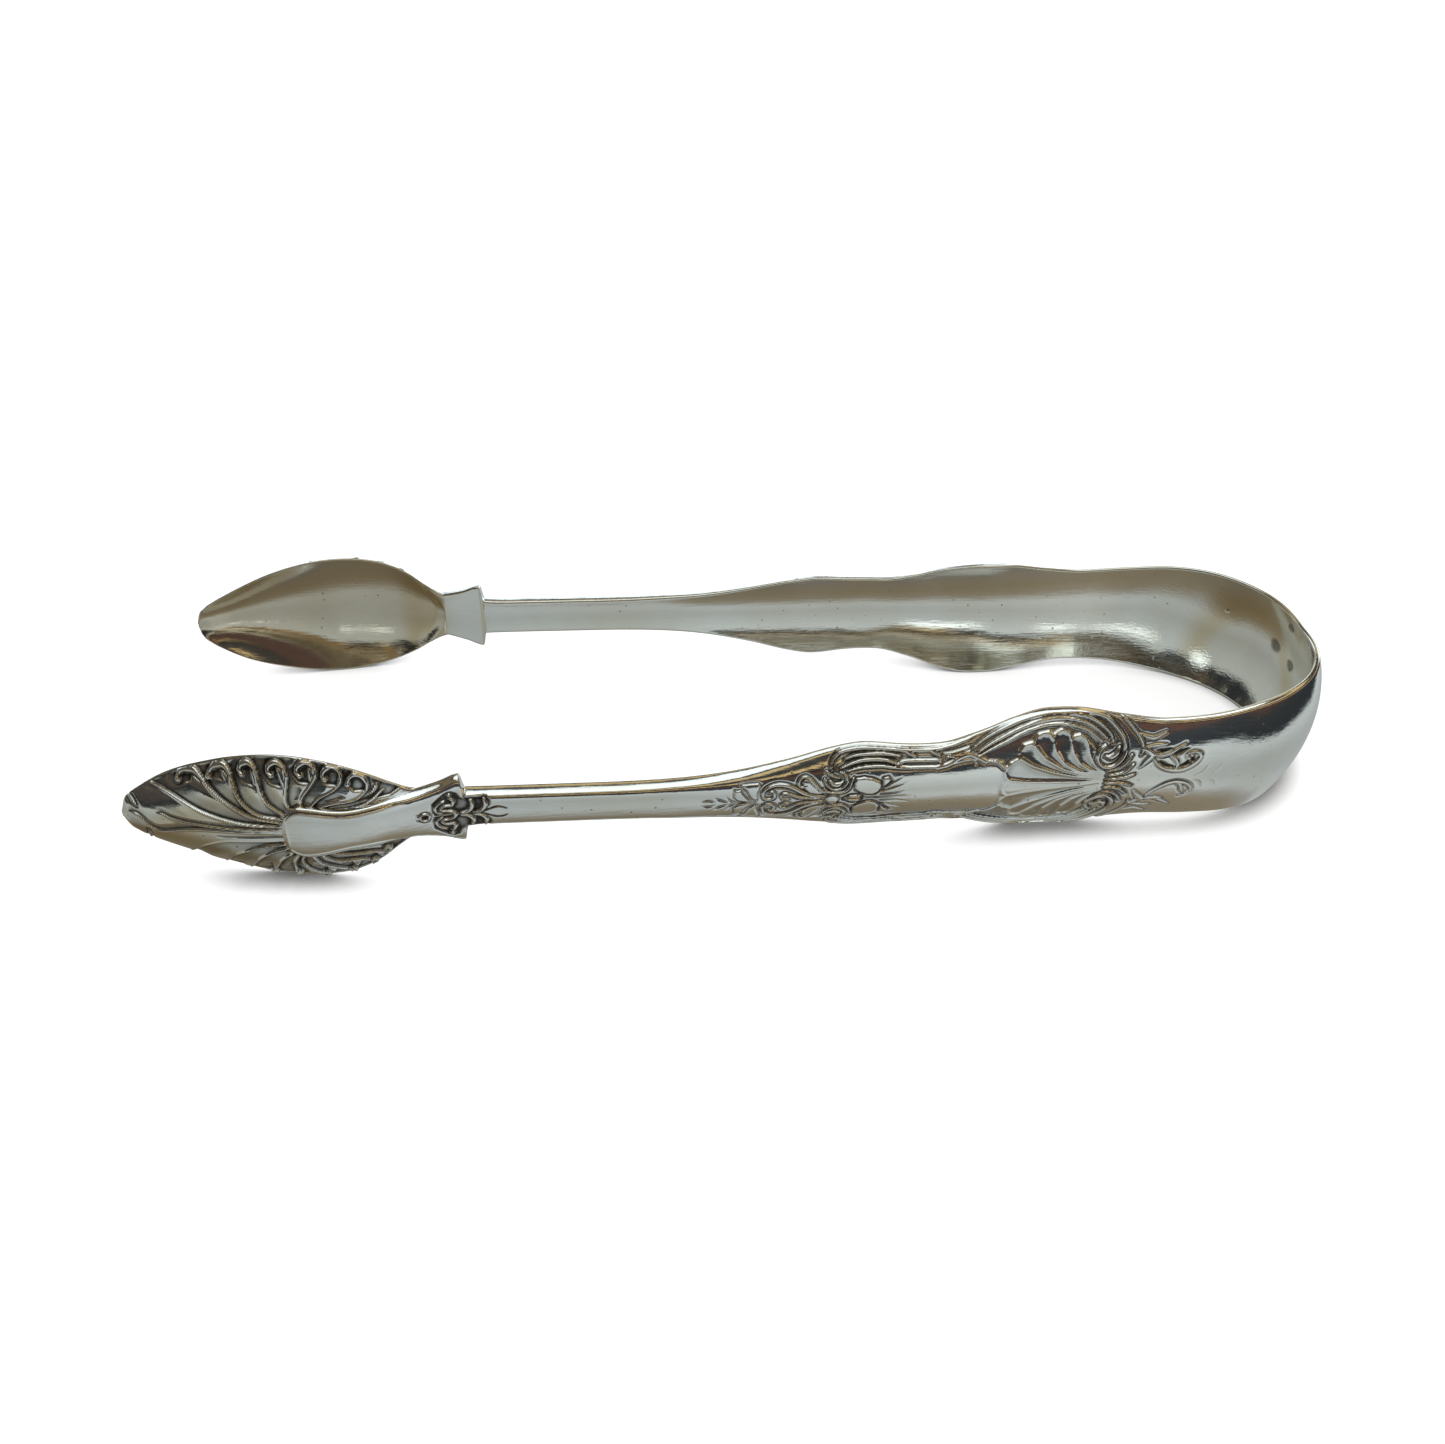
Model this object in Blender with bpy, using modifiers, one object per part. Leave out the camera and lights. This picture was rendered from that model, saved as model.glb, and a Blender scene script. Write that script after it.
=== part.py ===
"""Ice tongs: a sprung silver bow, two die-struck arms and two shell bowls.

Metres, +Z up. The tongs lie on one side, as they would on a table. +X runs from the bowls' tips
to the crown of the bow, and +Y across the gap, from the near arm to the far arm. The origin is
the centre of the bottom of the whole box.

Every piece follows one plan line, the outer face of the strip at half height. A station is the
distance along that line from the bowls' tips. The near side is modelled, and the far side is the
same mesh turned half a turn about X, because each section is the same above and below.
"""

import math

import bmesh
import bpy
import numpy as np
from mathutils import Vector

MM = 0.001

# Driving dimensions, in millimetres.
LENGTH = 161.0  # bowls' tips to crown
REST_HALF = 9.8  # half width of the widest places, which the tongs lie on
STEM_Y = 22.75  # outer face of the straight stem, from the middle plane
BOW_START = 134.0  # station where the strip begins to turn
BOW_Y = 20.8  # outer face there, from the middle plane
BOW_ROUNDNESS = 2.2  # exponent of the superellipse that the bow follows
SEAM = 147.0  # station of the solder seam between arm and bow
GAP = 0.3  # clearance between neighbouring pieces
TONGUE_START = 20.0  # station of the tongue's round end, on the bowl's back
TONGUE_ROUND = 2.6  # length of that round end
TONGUE_POWER = 2.2  # exponent of the round end's outline
TONGUE_T = 0.7  # thickness of the tongue
TONGUE_EDGE = 0.175  # how far the tongue's edges fall below its middle
TONGUE_END = 35.4  # station where the tongue begins to thicken into the neck
BOWL_T = 0.8  # thickness of the bowl's wall
BOWL_LIP = 0.28  # how much thinner the wall is at the rim
BOWL_LIP_POWER = 6  # how close to the rim it thins
BOWL_TIP_WALL = 0.6  # the wall's share of the half width, where the tip is narrow
BOWL_FULLNESS = 2.5  # exponent of the bowl's section, 2 for a parabola and more for a fuller one
BOWL_TIP = 8.0  # length of the tip, where the sections are crowded
BOWL_END = 35.2  # station where the bowl meets the neck
NECK_START = 36.2  # station where the arm is at its full thickness
SHOULDER_END = 41.4  # station of the shoulder's end
STEM_START = 41.9  # station where the narrow stem begins

# Profiles along the strip, as (station, value) in millimetres.
PLAN_Y = [
    (18, 25.7), (24, 26.1), (28.5, 25.7), (33, 24.5), (37, 23.5), (42, 22.85), (46, STEM_Y),
    (70, STEM_Y), (88, 22.6), (98, 22.4), (108, 21.9), (118, 21.3), (127, 20.9), (BOW_START, BOW_Y),
]
HALF_WIDTH = [
    (20, 4.05), (22, 4.05), (28.5, 3.1), (33, 3.3), (36, 3.6), (39, 4.4), (SHOULDER_END, 5.3),
    (STEM_START, 2.9), (47, 2.75), (57, 2.75), (66, 2.9), (75, 3.6), (82, 4.9), (88, 6.3),
    (92, 6.85), (97, 6.5), (102, 6.4), (107, 7.4), (112, 9.0), (117, REST_HALF),
    (120, REST_HALF), (126, 8.9), (132, 8.2), (139, 8.55), (147, 9.4), (155, REST_HALF),
    (163, REST_HALF), (172, 9.5),
]
CAMBER = [
    (STEM_START, 0), (66, 0), (75, 0.5), (82, 1.0), (92, 1.85), (100, 1.5), (108, 2.2),
    (117, 3.2), (125, 2.4), (132, 1.9), (140, 1.9), (150, 1.75), (160, 1.9), (172, 2.2),
]
THICKNESS = [
    (NECK_START, 1.8), (SHOULDER_END, 1.7), (STEM_START, 1.9), (66, 1.9), (82, 1.8), (92, 1.6),
    (110, 1.35), (125, 1.25), (145, 1.05), (172, 1.0),
]
EDGE_T = [(35, 0.7), (STEM_START, 0.75), (82, 0.75), (120, 0.8), (146, 0.85), (172, 0.85)]
BEVEL_POWER = [(STEM_START, 6), (66, 6), (82, 3), (92, 2.2), (172, 2)]
BOWL_HALF_WIDTH = [
    (0, 0.4), (0.5, 1.9), (1.5, 3.1), (3, 4.2), (5, 5.4), (8, 6.9), (12, 8.4), (16, 9.4),
    (20, REST_HALF), (24, 9.5), (28, 8.4), (31, 6.8), (33, 5.3), (BOWL_END, 3.9),
]
BOWL_RIM_Y = [
    (0, 20.6), (5, 20.4), (12, 21.3), (20, 22.45), (28, 23.3), (31, 23.1), (33, 22.7),
    (BOWL_END, 22.3),
]
BOWL_BACK_Y = [(0, 20.75), (1, 21.5), (3, 22.5), (8, 23.9), (14, 24.75)]  # the tongue sets the rest

OUTER_POINTS = 13
INNER_POINTS = 9
BOW_SAMPLES = 400
NORMAL_REACH = 0.4  # half the chord that gives the plan line's direction, in millimetres
SHARP_EDGE = math.radians(35)

SILVER = (0.80, 0.79, 0.76)
OLD_SILVER = (0.66, 0.65, 0.61)


def eased(knots):
    """A smooth curve through the knots that never overshoots them."""
    x, y = np.array(knots, float).T
    slope = np.diff(y) / np.diff(x)
    tangent = np.gradient(y, x)
    for i in range(1, len(x) - 1):
        steepest = 3 * min(abs(slope[i - 1]), abs(slope[i]))
        turning = slope[i - 1] * slope[i] <= 0
        tangent[i] = 0 if turning else math.copysign(min(abs(tangent[i]), steepest), tangent[i])

    def value(at):
        at = min(max(at, x[0]), x[-1])
        i = min(int(np.searchsorted(x, at, side="right")) - 1, len(x) - 2)
        h = x[i + 1] - x[i]
        u = (at - x[i]) / h
        return float(
            (1 + 2 * u) * (1 - u) ** 2 * y[i] + u * (1 - u) ** 2 * h * tangent[i]
            + u * u * (3 - 2 * u) * y[i + 1] + u * u * (u - 1) * h * tangent[i + 1]
        )

    return value


plan_y = eased(PLAN_Y)
half_width = eased(HALF_WIDTH)
camber = eased(CAMBER)
thickness = eased(THICKNESS)
edge_thickness = eased(EDGE_T)
bevel_power = eased(BEVEL_POWER)
bowl_half_width = eased(BOWL_HALF_WIDTH)
bowl_rim_y = eased(BOWL_RIM_Y)
bowl_back_tip_y = eased([*BOWL_BACK_Y, (TONGUE_START, plan_y(TONGUE_START) - TONGUE_T - GAP)])


def bow_line():
    """Stations and points of the quarter superellipse from the arm's end to the crown."""
    angles = np.linspace(math.pi / 2, 0, BOW_SAMPLES)
    power = 2 / BOW_ROUNDNESS
    x = BOW_START + (LENGTH - BOW_START) * np.abs(np.cos(angles)) ** power
    y = BOW_Y * np.abs(np.sin(angles)) ** power
    x[0], y[-1] = BOW_START, 0.0
    steps = np.hypot(np.diff(x), np.diff(y))
    return BOW_START + np.concatenate([[0], np.cumsum(steps)]), x, y


BOW_STATIONS, BOW_X, BOW_LINE_Y = bow_line()
CROWN = float(BOW_STATIONS[-1])


def plan_point(station):
    """The plan line's point on the near side, which is at -Y."""
    if station <= BOW_START:
        return Vector((station, -plan_y(station), 0))
    x = np.interp(station, BOW_STATIONS, BOW_X)
    y = np.interp(station, BOW_STATIONS, BOW_LINE_Y)
    return Vector((x, -y, 0))


def outward(station):
    """The plan line's normal, pointing away from the gap."""
    if station >= CROWN:
        return Vector((1, 0, 0))
    along = plan_point(min(station + NORMAL_REACH, CROWN)) - plan_point(station - NORMAL_REACH)
    along.normalize()
    return Vector((along.y, -along.x, 0))


def spring_centre():
    """The point that an arm turns about when its half of the bow bends evenly: the centroid of
    the plan line between seam and crown."""
    stations = np.linspace(SEAM, CROWN, 200)
    points = [plan_point(s) for s in stations]
    return sum(points, Vector()) / len(points)


def placed(point):
    """A point of the strip, in millimetres from the tips and the middle plane, in the part's frame."""
    return Vector((point.x - LENGTH / 2, point.y, point.z + REST_HALF)) * MM


def section(station, outer, inner, half):
    """The closed ring of one cross section. outer and inner give the depth below the plan line
    for a height from -1 to 1, which half turns into millimetres."""
    origin, normal = plan_point(station), outward(station)
    ring = []
    for v in np.linspace(-1, 1, OUTER_POINTS):
        ring.append(origin - normal * outer(v) + Vector((0, 0, v * half)))
    for v in np.linspace(1, -1, INNER_POINTS):
        ring.append(origin - normal * inner(v) + Vector((0, 0, v * half)))
    return [placed(p) for p in ring]


def strip_section(station):
    """The strip: cambered where it is wide, flat with bevelled edges along the stem."""
    c, t, e = camber(station), thickness(station), edge_thickness(station)
    q = bevel_power(station)
    return section(
        station,
        outer=lambda v: c * v * v + (t - e) * abs(v) ** q,
        inner=lambda v: t + c * v * v,
        half=half_width(station),
    )


def bowl_depth(station):
    return bowl_back_y(station) - bowl_rim_y(station)


def bowl_back_y(station):
    """The bowl's back at half height: under the tongue, one gap below it."""
    if station < TONGUE_START:
        return bowl_back_tip_y(station)
    return plan_y(station) - TONGUE_T - GAP


def tongue_section(station):
    """The tongue: a thin leaf that lies along the bowl's back, with a round end."""
    from_round = max(0.0, TONGUE_START + TONGUE_ROUND - station) / TONGUE_ROUND
    half = half_width(station) * (1 - from_round**TONGUE_POWER) ** (1 / TONGUE_POWER)
    wrap = bowl_depth(station) * (half / bowl_half_width(station)) ** BOWL_FULLNESS
    return section(
        station,
        outer=lambda v: wrap * abs(v) ** BOWL_FULLNESS + TONGUE_EDGE * v**4,
        inner=lambda v: TONGUE_T + wrap * abs(v) ** BOWL_FULLNESS,
        half=half,
    )


def bowl_section(station):
    """The bowl: a thin shell, deepest at half height and running up to the rim at both edges."""
    half, depth = bowl_half_width(station), bowl_depth(station)
    back = bowl_back_y(station)
    wall = min(BOWL_T, BOWL_TIP_WALL * half)
    ring = []
    for v in np.linspace(-1, 1, OUTER_POINTS):
        rise = depth * abs(v) ** BOWL_FULLNESS
        ring.append(Vector((station, -(back - rise), v * half)))
    for v in np.linspace(1, -1, INNER_POINTS):
        rise = depth * abs(v) ** BOWL_FULLNESS - BOWL_LIP * abs(v) ** BOWL_LIP_POWER
        ring.append(Vector((station, -(back - wall - rise), v * half)))
    return [placed(p) for p in ring]


def loft(name, rings, pivot, close_end=True):
    """A mesh skinned over rings of equal length, in the frame of the pivot. Its first end is
    capped, and its last one too unless a mirror closes it."""
    mesh = bpy.data.meshes.new(name)
    bm = bmesh.new()
    loops = [[bm.verts.new(point - pivot) for point in ring] for ring in rings]
    for first, second in zip(loops, loops[1:]):
        for i, vert in enumerate(first):
            j = (i + 1) % len(first)
            bm.faces.new((vert, first[j], second[j], second[i]))
    bm.faces.new(loops[0][::-1])
    if close_end:
        bm.faces.new(loops[-1])
    bmesh.ops.recalc_face_normals(bm, faces=bm.faces)
    bm.to_mesh(mesh)
    bm.free()
    mesh.shade_smooth()
    mesh.set_sharp_from_angle(angle=SHARP_EDGE)
    return mesh


def silver(name, color, roughness):
    material = bpy.data.materials.new(name)
    material.use_nodes = True
    shader = material.node_tree.nodes["Principled BSDF"]
    shader.inputs["Base Color"].default_value = (*color, 1)
    shader.inputs["Metallic"].default_value = 1
    shader.inputs["Roughness"].default_value = roughness
    material.diffuse_color = (*color, 1)
    return material


def place(name, mesh, pivot, material, collection, turned=False):
    """An object with its origin on the pivot. A far piece is the near one turned about X."""
    piece = bpy.data.objects.new(name, mesh)
    piece.location = (pivot.x, -pivot.y if turned else pivot.y, pivot.z)
    if turned:
        piece.rotation_euler = (math.pi, 0, 0)
    if not mesh.materials:
        mesh.materials.append(material)
    collection.objects.link(piece)
    return piece


def spread(start, end, step):
    """Stations from start to end, no further apart than step."""
    return np.linspace(start, end, max(2, math.ceil((end - start) / step) + 1))


def arm_mesh(pivot):
    """The tongue and the strip as one loft, with its sections close where the shape turns."""
    round_end = TONGUE_START + TONGUE_ROUND * (1 - np.cos(np.linspace(0.3, math.pi / 2, 6)))
    tongue = [*round_end, *spread(24.5, TONGUE_END, 2.1)]
    strip = [
        *spread(NECK_START, SHOULDER_END, 1.5),
        *spread(STEM_START, 46, 2.1),
        *spread(66, 92, 3.3),
        *spread(94.5, SEAM - GAP / 2, 2.5),
    ]
    rings = [tongue_section(s) for s in tongue]
    rings += [strip_section(s) for s in strip]
    return loft("arm", rings, pivot)


def bowl_mesh(pivot):
    tip = BOWL_TIP * (1 - np.cos(np.linspace(0, math.pi / 2, 9)))
    stations = [*tip, *spread(BOWL_TIP + 2, BOWL_END, 1.8)]
    return loft("bowl", [bowl_section(s) for s in stations], pivot)


def bow_mesh(origin):
    """The near half of the bow, left open at the middle plane."""
    stations = spread(SEAM + GAP / 2, CROWN, 1.3)
    return loft("bow", [strip_section(s) for s in stations], origin, close_end=False)


def mirror_across_middle(piece):
    mirror = piece.modifiers.new("other half", "MIRROR")
    mirror.use_axis = (False, True, False)
    mirror.use_clip = True
    mirror.merge_threshold = 1e-6


def clear_scene():
    for obj in list(bpy.data.objects):
        bpy.data.objects.remove(obj, do_unlink=True)


def main():
    clear_scene()
    tongs = bpy.data.collections.new("ice_tongs")
    bpy.context.scene.collection.children.link(tongs)
    polished = silver("polished_silver", SILVER, 0.12)
    struck = silver("struck_silver", OLD_SILVER, 0.22)

    crown = placed(plan_point(CROWN))
    pivot = placed(spring_centre())
    bow = place("bow", bow_mesh(crown), crown, polished, tongs)
    mirror_across_middle(bow)

    arm, bowl = arm_mesh(pivot), bowl_mesh(pivot)
    for side, turned in (("near", False), ("far", True)):
        place(f"{side}_arm", arm, pivot, struck, tongs, turned)
        place(f"{side}_bowl", bowl, pivot, struck, tongs, turned)


main()
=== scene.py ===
"""Looks of the silver ice tongs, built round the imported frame.

Lengths inside the profile and relief functions are millimetres. A station is the distance along
the strip from the bowls' tips, and a height runs from the strip's middle to its edges. The near
side is built at -Y, and a far piece is the same mesh turned half a turn about the long axis.
"""

import math

import bpy
import numpy as np
from mathutils import Matrix, Vector


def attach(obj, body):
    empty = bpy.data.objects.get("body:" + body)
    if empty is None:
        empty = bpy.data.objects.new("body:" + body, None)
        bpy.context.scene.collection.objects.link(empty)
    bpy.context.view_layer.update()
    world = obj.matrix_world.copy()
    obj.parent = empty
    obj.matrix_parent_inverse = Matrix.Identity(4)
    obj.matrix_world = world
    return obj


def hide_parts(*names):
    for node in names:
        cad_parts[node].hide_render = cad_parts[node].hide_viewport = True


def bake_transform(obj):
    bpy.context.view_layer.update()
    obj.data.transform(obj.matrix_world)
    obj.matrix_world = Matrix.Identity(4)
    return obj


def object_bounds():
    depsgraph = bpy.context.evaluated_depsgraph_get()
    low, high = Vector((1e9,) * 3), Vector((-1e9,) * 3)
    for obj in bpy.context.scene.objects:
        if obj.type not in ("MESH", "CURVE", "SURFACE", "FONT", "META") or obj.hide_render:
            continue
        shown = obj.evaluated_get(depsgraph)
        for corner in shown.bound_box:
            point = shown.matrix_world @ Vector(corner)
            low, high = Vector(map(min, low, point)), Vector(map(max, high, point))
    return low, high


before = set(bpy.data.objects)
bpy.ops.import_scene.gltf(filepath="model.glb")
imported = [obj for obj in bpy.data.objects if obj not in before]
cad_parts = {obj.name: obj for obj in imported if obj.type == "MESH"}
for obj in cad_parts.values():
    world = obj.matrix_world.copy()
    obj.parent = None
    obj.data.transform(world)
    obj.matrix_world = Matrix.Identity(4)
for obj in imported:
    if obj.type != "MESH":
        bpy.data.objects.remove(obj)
CAD_LOW, CAD_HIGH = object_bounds()

MM = 0.001
LENGTH = (CAD_HIGH.x - CAD_LOW.x) / MM
REST_HALF = (CAD_HIGH.z - CAD_LOW.z) / 2 / MM
STEM_Y = 22.75
BOW_START, BOW_Y, BOW_ROUNDNESS = 134.0, 20.8, 2.2
SEAM = 147.0
# The tongue ends in a round end, drops off by TONGUE_CROWN at its edges, and has a raised line
# TONGUE_LINE_IN from its outline. It goes over into the strip from NECK_BLEND to NECK_START.
TONGUE_START, TONGUE_ROUND, TONGUE_T, TONGUE_CROWN = 20.0, 2.6, 0.7, 0.175
TONGUE_EDGE, TONGUE_LINE, TONGUE_LINE_IN, TONGUE_LINE_WIDTH = 0.34, 0.08, 0.62, 0.13
GAP = 0.3
# The bowl's wall, which is hollowed out from the inside towards the neck.
BOWL_T, BOWL_LIP, BOWL_FULLNESS, BOWL_EDGE, BOWL_END = 0.8, 0.28, 2.5, 0.26, 36.4
HOLLOW, HOLLOW_START, HOLLOW_RUN = 0.42, 22, 11
NECK_BLEND, NECK_START, SHOULDER_END, STEM_START = 31.0, 36.2, 41.4, 41.9

# Profiles along the strip, as (station, value), the same as the CAD's.
PLAN_Y = [
    (18, 25.7), (24, 26.1), (28.5, 25.7), (33, 24.5), (37, 23.5), (42, 22.85), (46, STEM_Y),
    (70, STEM_Y), (88, 22.6), (98, 22.4), (108, 21.9), (118, 21.3), (127, 20.9), (BOW_START, BOW_Y),
]
HALF_WIDTH = [
    (20, 4.05), (22, 4.05), (28.5, 3.1), (33, 3.3), (36, 3.6), (39, 4.4), (SHOULDER_END, 5.3),
    (STEM_START, 2.9), (47, 2.75), (57, 2.75), (66, 2.9), (75, 3.6), (82, 4.9), (88, 6.3),
    (92, 6.85), (97, 6.5), (102, 6.4), (107, 7.4), (112, 9.0), (117, REST_HALF),
    (120, REST_HALF), (126, 8.9), (132, 8.2), (139, 8.55), (147, 9.4), (155, REST_HALF),
    (163, REST_HALF), (172, 9.5),
]
CAMBER = [
    (STEM_START, 0.2), (66, 0.22), (75, 0.55), (82, 1.0), (92, 1.85), (100, 1.5), (108, 2.2),
    (117, 3.2), (125, 2.4), (132, 1.9), (140, 1.9), (150, 1.75), (160, 1.9), (172, 2.2),
]
THICKNESS = [
    (NECK_START, 1.8), (SHOULDER_END, 1.7), (STEM_START, 1.9), (66, 1.9), (82, 1.8), (92, 1.6),
    (110, 1.35), (125, 1.25), (145, 1.05), (172, 1.0),
]
EDGE_T = [(35, 0.7), (STEM_START, 0.75), (82, 0.75), (120, 0.8), (146, 0.85), (172, 0.85)]
BEVEL_POWER = [(STEM_START, 10), (66, 9), (82, 4), (92, 2.4), (172, 2)]
BOWL_HALF_WIDTH = [
    (0, 0.4), (0.5, 1.9), (1.5, 3.1), (3, 4.2), (5, 5.4), (8, 6.9), (12, 8.4), (16, 9.4),
    (20, REST_HALF), (24, 9.5), (28, 8.4), (31, 6.8), (33, 5.3), (35.2, 3.9), (BOWL_END, 3.5),
]
BOWL_RIM_Y = [
    (0, 20.6), (5, 20.4), (12, 21.3), (20, 22.45), (28, 23.3), (31, 23.1), (33, 22.7),
    (35.2, 22.3), (BOWL_END, 22.1),
]
BOWL_BACK_Y = [(0, 20.75), (1, 21.5), (3, 22.5), (8, 23.9), (14, 24.75), (TONGUE_START, 24.92)]


# Curves -------------------------------------------------------------------------------------


def eased(knots):
    """A smooth curve through the knots that never overshoots them. It takes and gives arrays."""
    x, y = np.array(knots, float).T
    slope = np.diff(y) / np.diff(x)
    tangent = np.gradient(y, x)
    for i in range(1, len(x) - 1):
        steepest = 3 * min(abs(slope[i - 1]), abs(slope[i]))
        turning = slope[i - 1] * slope[i] <= 0
        tangent[i] = 0 if turning else math.copysign(min(abs(tangent[i]), steepest), tangent[i])

    def value(at):
        at = np.clip(np.asarray(at, float), x[0], x[-1])
        i = np.clip(np.searchsorted(x, at, side="right") - 1, 0, len(x) - 2)
        h = x[i + 1] - x[i]
        u = (at - x[i]) / h
        return (
            (1 + 2 * u) * (1 - u) ** 2 * y[i] + u * (1 - u) ** 2 * h * tangent[i]
            + u * u * (3 - 2 * u) * y[i + 1] + u * u * (u - 1) * h * tangent[i + 1]
        )

    return value


plan_y = eased(PLAN_Y)
half_width = eased(HALF_WIDTH)
camber = eased(CAMBER)
thickness = eased(THICKNESS)
edge_thickness = eased(EDGE_T)
bevel_power = eased(BEVEL_POWER)
bowl_half_width = eased(BOWL_HALF_WIDTH)
bowl_rim_y = eased(BOWL_RIM_Y)
bowl_tip_back_y = eased(BOWL_BACK_Y)


def plan_table():
    """Stations with the plan line's x and y, along the arm and on to the crown of the bow."""
    arm_x = np.arange(0, BOW_START, 0.1)
    angles = np.linspace(math.pi / 2, 0, 700)
    power = 2 / BOW_ROUNDNESS
    bow_x = BOW_START + (LENGTH - BOW_START) * np.abs(np.cos(angles)) ** power
    bow_y = BOW_Y * np.abs(np.sin(angles)) ** power
    bow_x[0], bow_y[-1] = BOW_START, 0.0
    steps = np.hypot(np.diff(bow_x), np.diff(bow_y))
    bow_s = BOW_START + np.concatenate([[0], np.cumsum(steps)])
    return (
        np.concatenate([arm_x, bow_s]),
        np.concatenate([arm_x, bow_x]),
        np.concatenate([plan_y(arm_x), bow_y]),
    )


PLAN_S, PLAN_X, PLAN_LINE_Y = plan_table()
CROWN = float(PLAN_S[-1])


def plan_points(stations):
    x = np.interp(stations, PLAN_S, PLAN_X)
    return np.stack([x, -np.interp(stations, PLAN_S, PLAN_LINE_Y), 0 * x], axis=-1)


def outward(stations):
    """The plan line's unit normal at each station, away from the gap."""
    reach = 0.4
    along = plan_points(np.minimum(stations + reach, CROWN)) - plan_points(stations - reach)
    along[stations >= CROWN - 1e-6] = (0, 1, 0)
    along /= np.linalg.norm(along, axis=-1, keepdims=True)
    return np.stack([along[:, 1], -along[:, 0], 0 * along[:, 0]], axis=-1)


def smooth_path(points, per_span=8):
    """A Catmull-Rom curve through the points, as a list of close points."""
    p = np.array(points, float)
    if len(p) == 2:
        return p
    ends = np.vstack([2 * p[0] - p[1], p, 2 * p[-1] - p[-2]])
    u = np.linspace(0, 1, per_span, endpoint=False)[:, None]
    spans = [
        0.5 * (2 * b + (c - a) * u + (2 * a - 5 * b + 4 * c - d) * u**2 + (3 * b - a - 3 * c + d) * u**3)
        for a, b, c, d in zip(ends, ends[1:], ends[2:], ends[3:])
    ]
    return np.vstack([*spans, p[-1:]])


def spiral(centre, start_radius, end_radius, start_angle, turn, points=14):
    """Points of a spiral. Angles are degrees from +station towards +height, and turn is signed."""
    t = np.linspace(0, 1, points)
    angle = np.radians(start_angle + turn * t)
    radius = start_radius + (end_radius - start_radius) * t
    return [(centre[0] + r * math.cos(a), centre[1] + r * math.sin(a)) for r, a in zip(radius, angle)]


def smooth_step(t):
    t = np.clip(t, 0, 1)
    return t * t * (3 - 2 * t)


# Relief -------------------------------------------------------------------------------------


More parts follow.
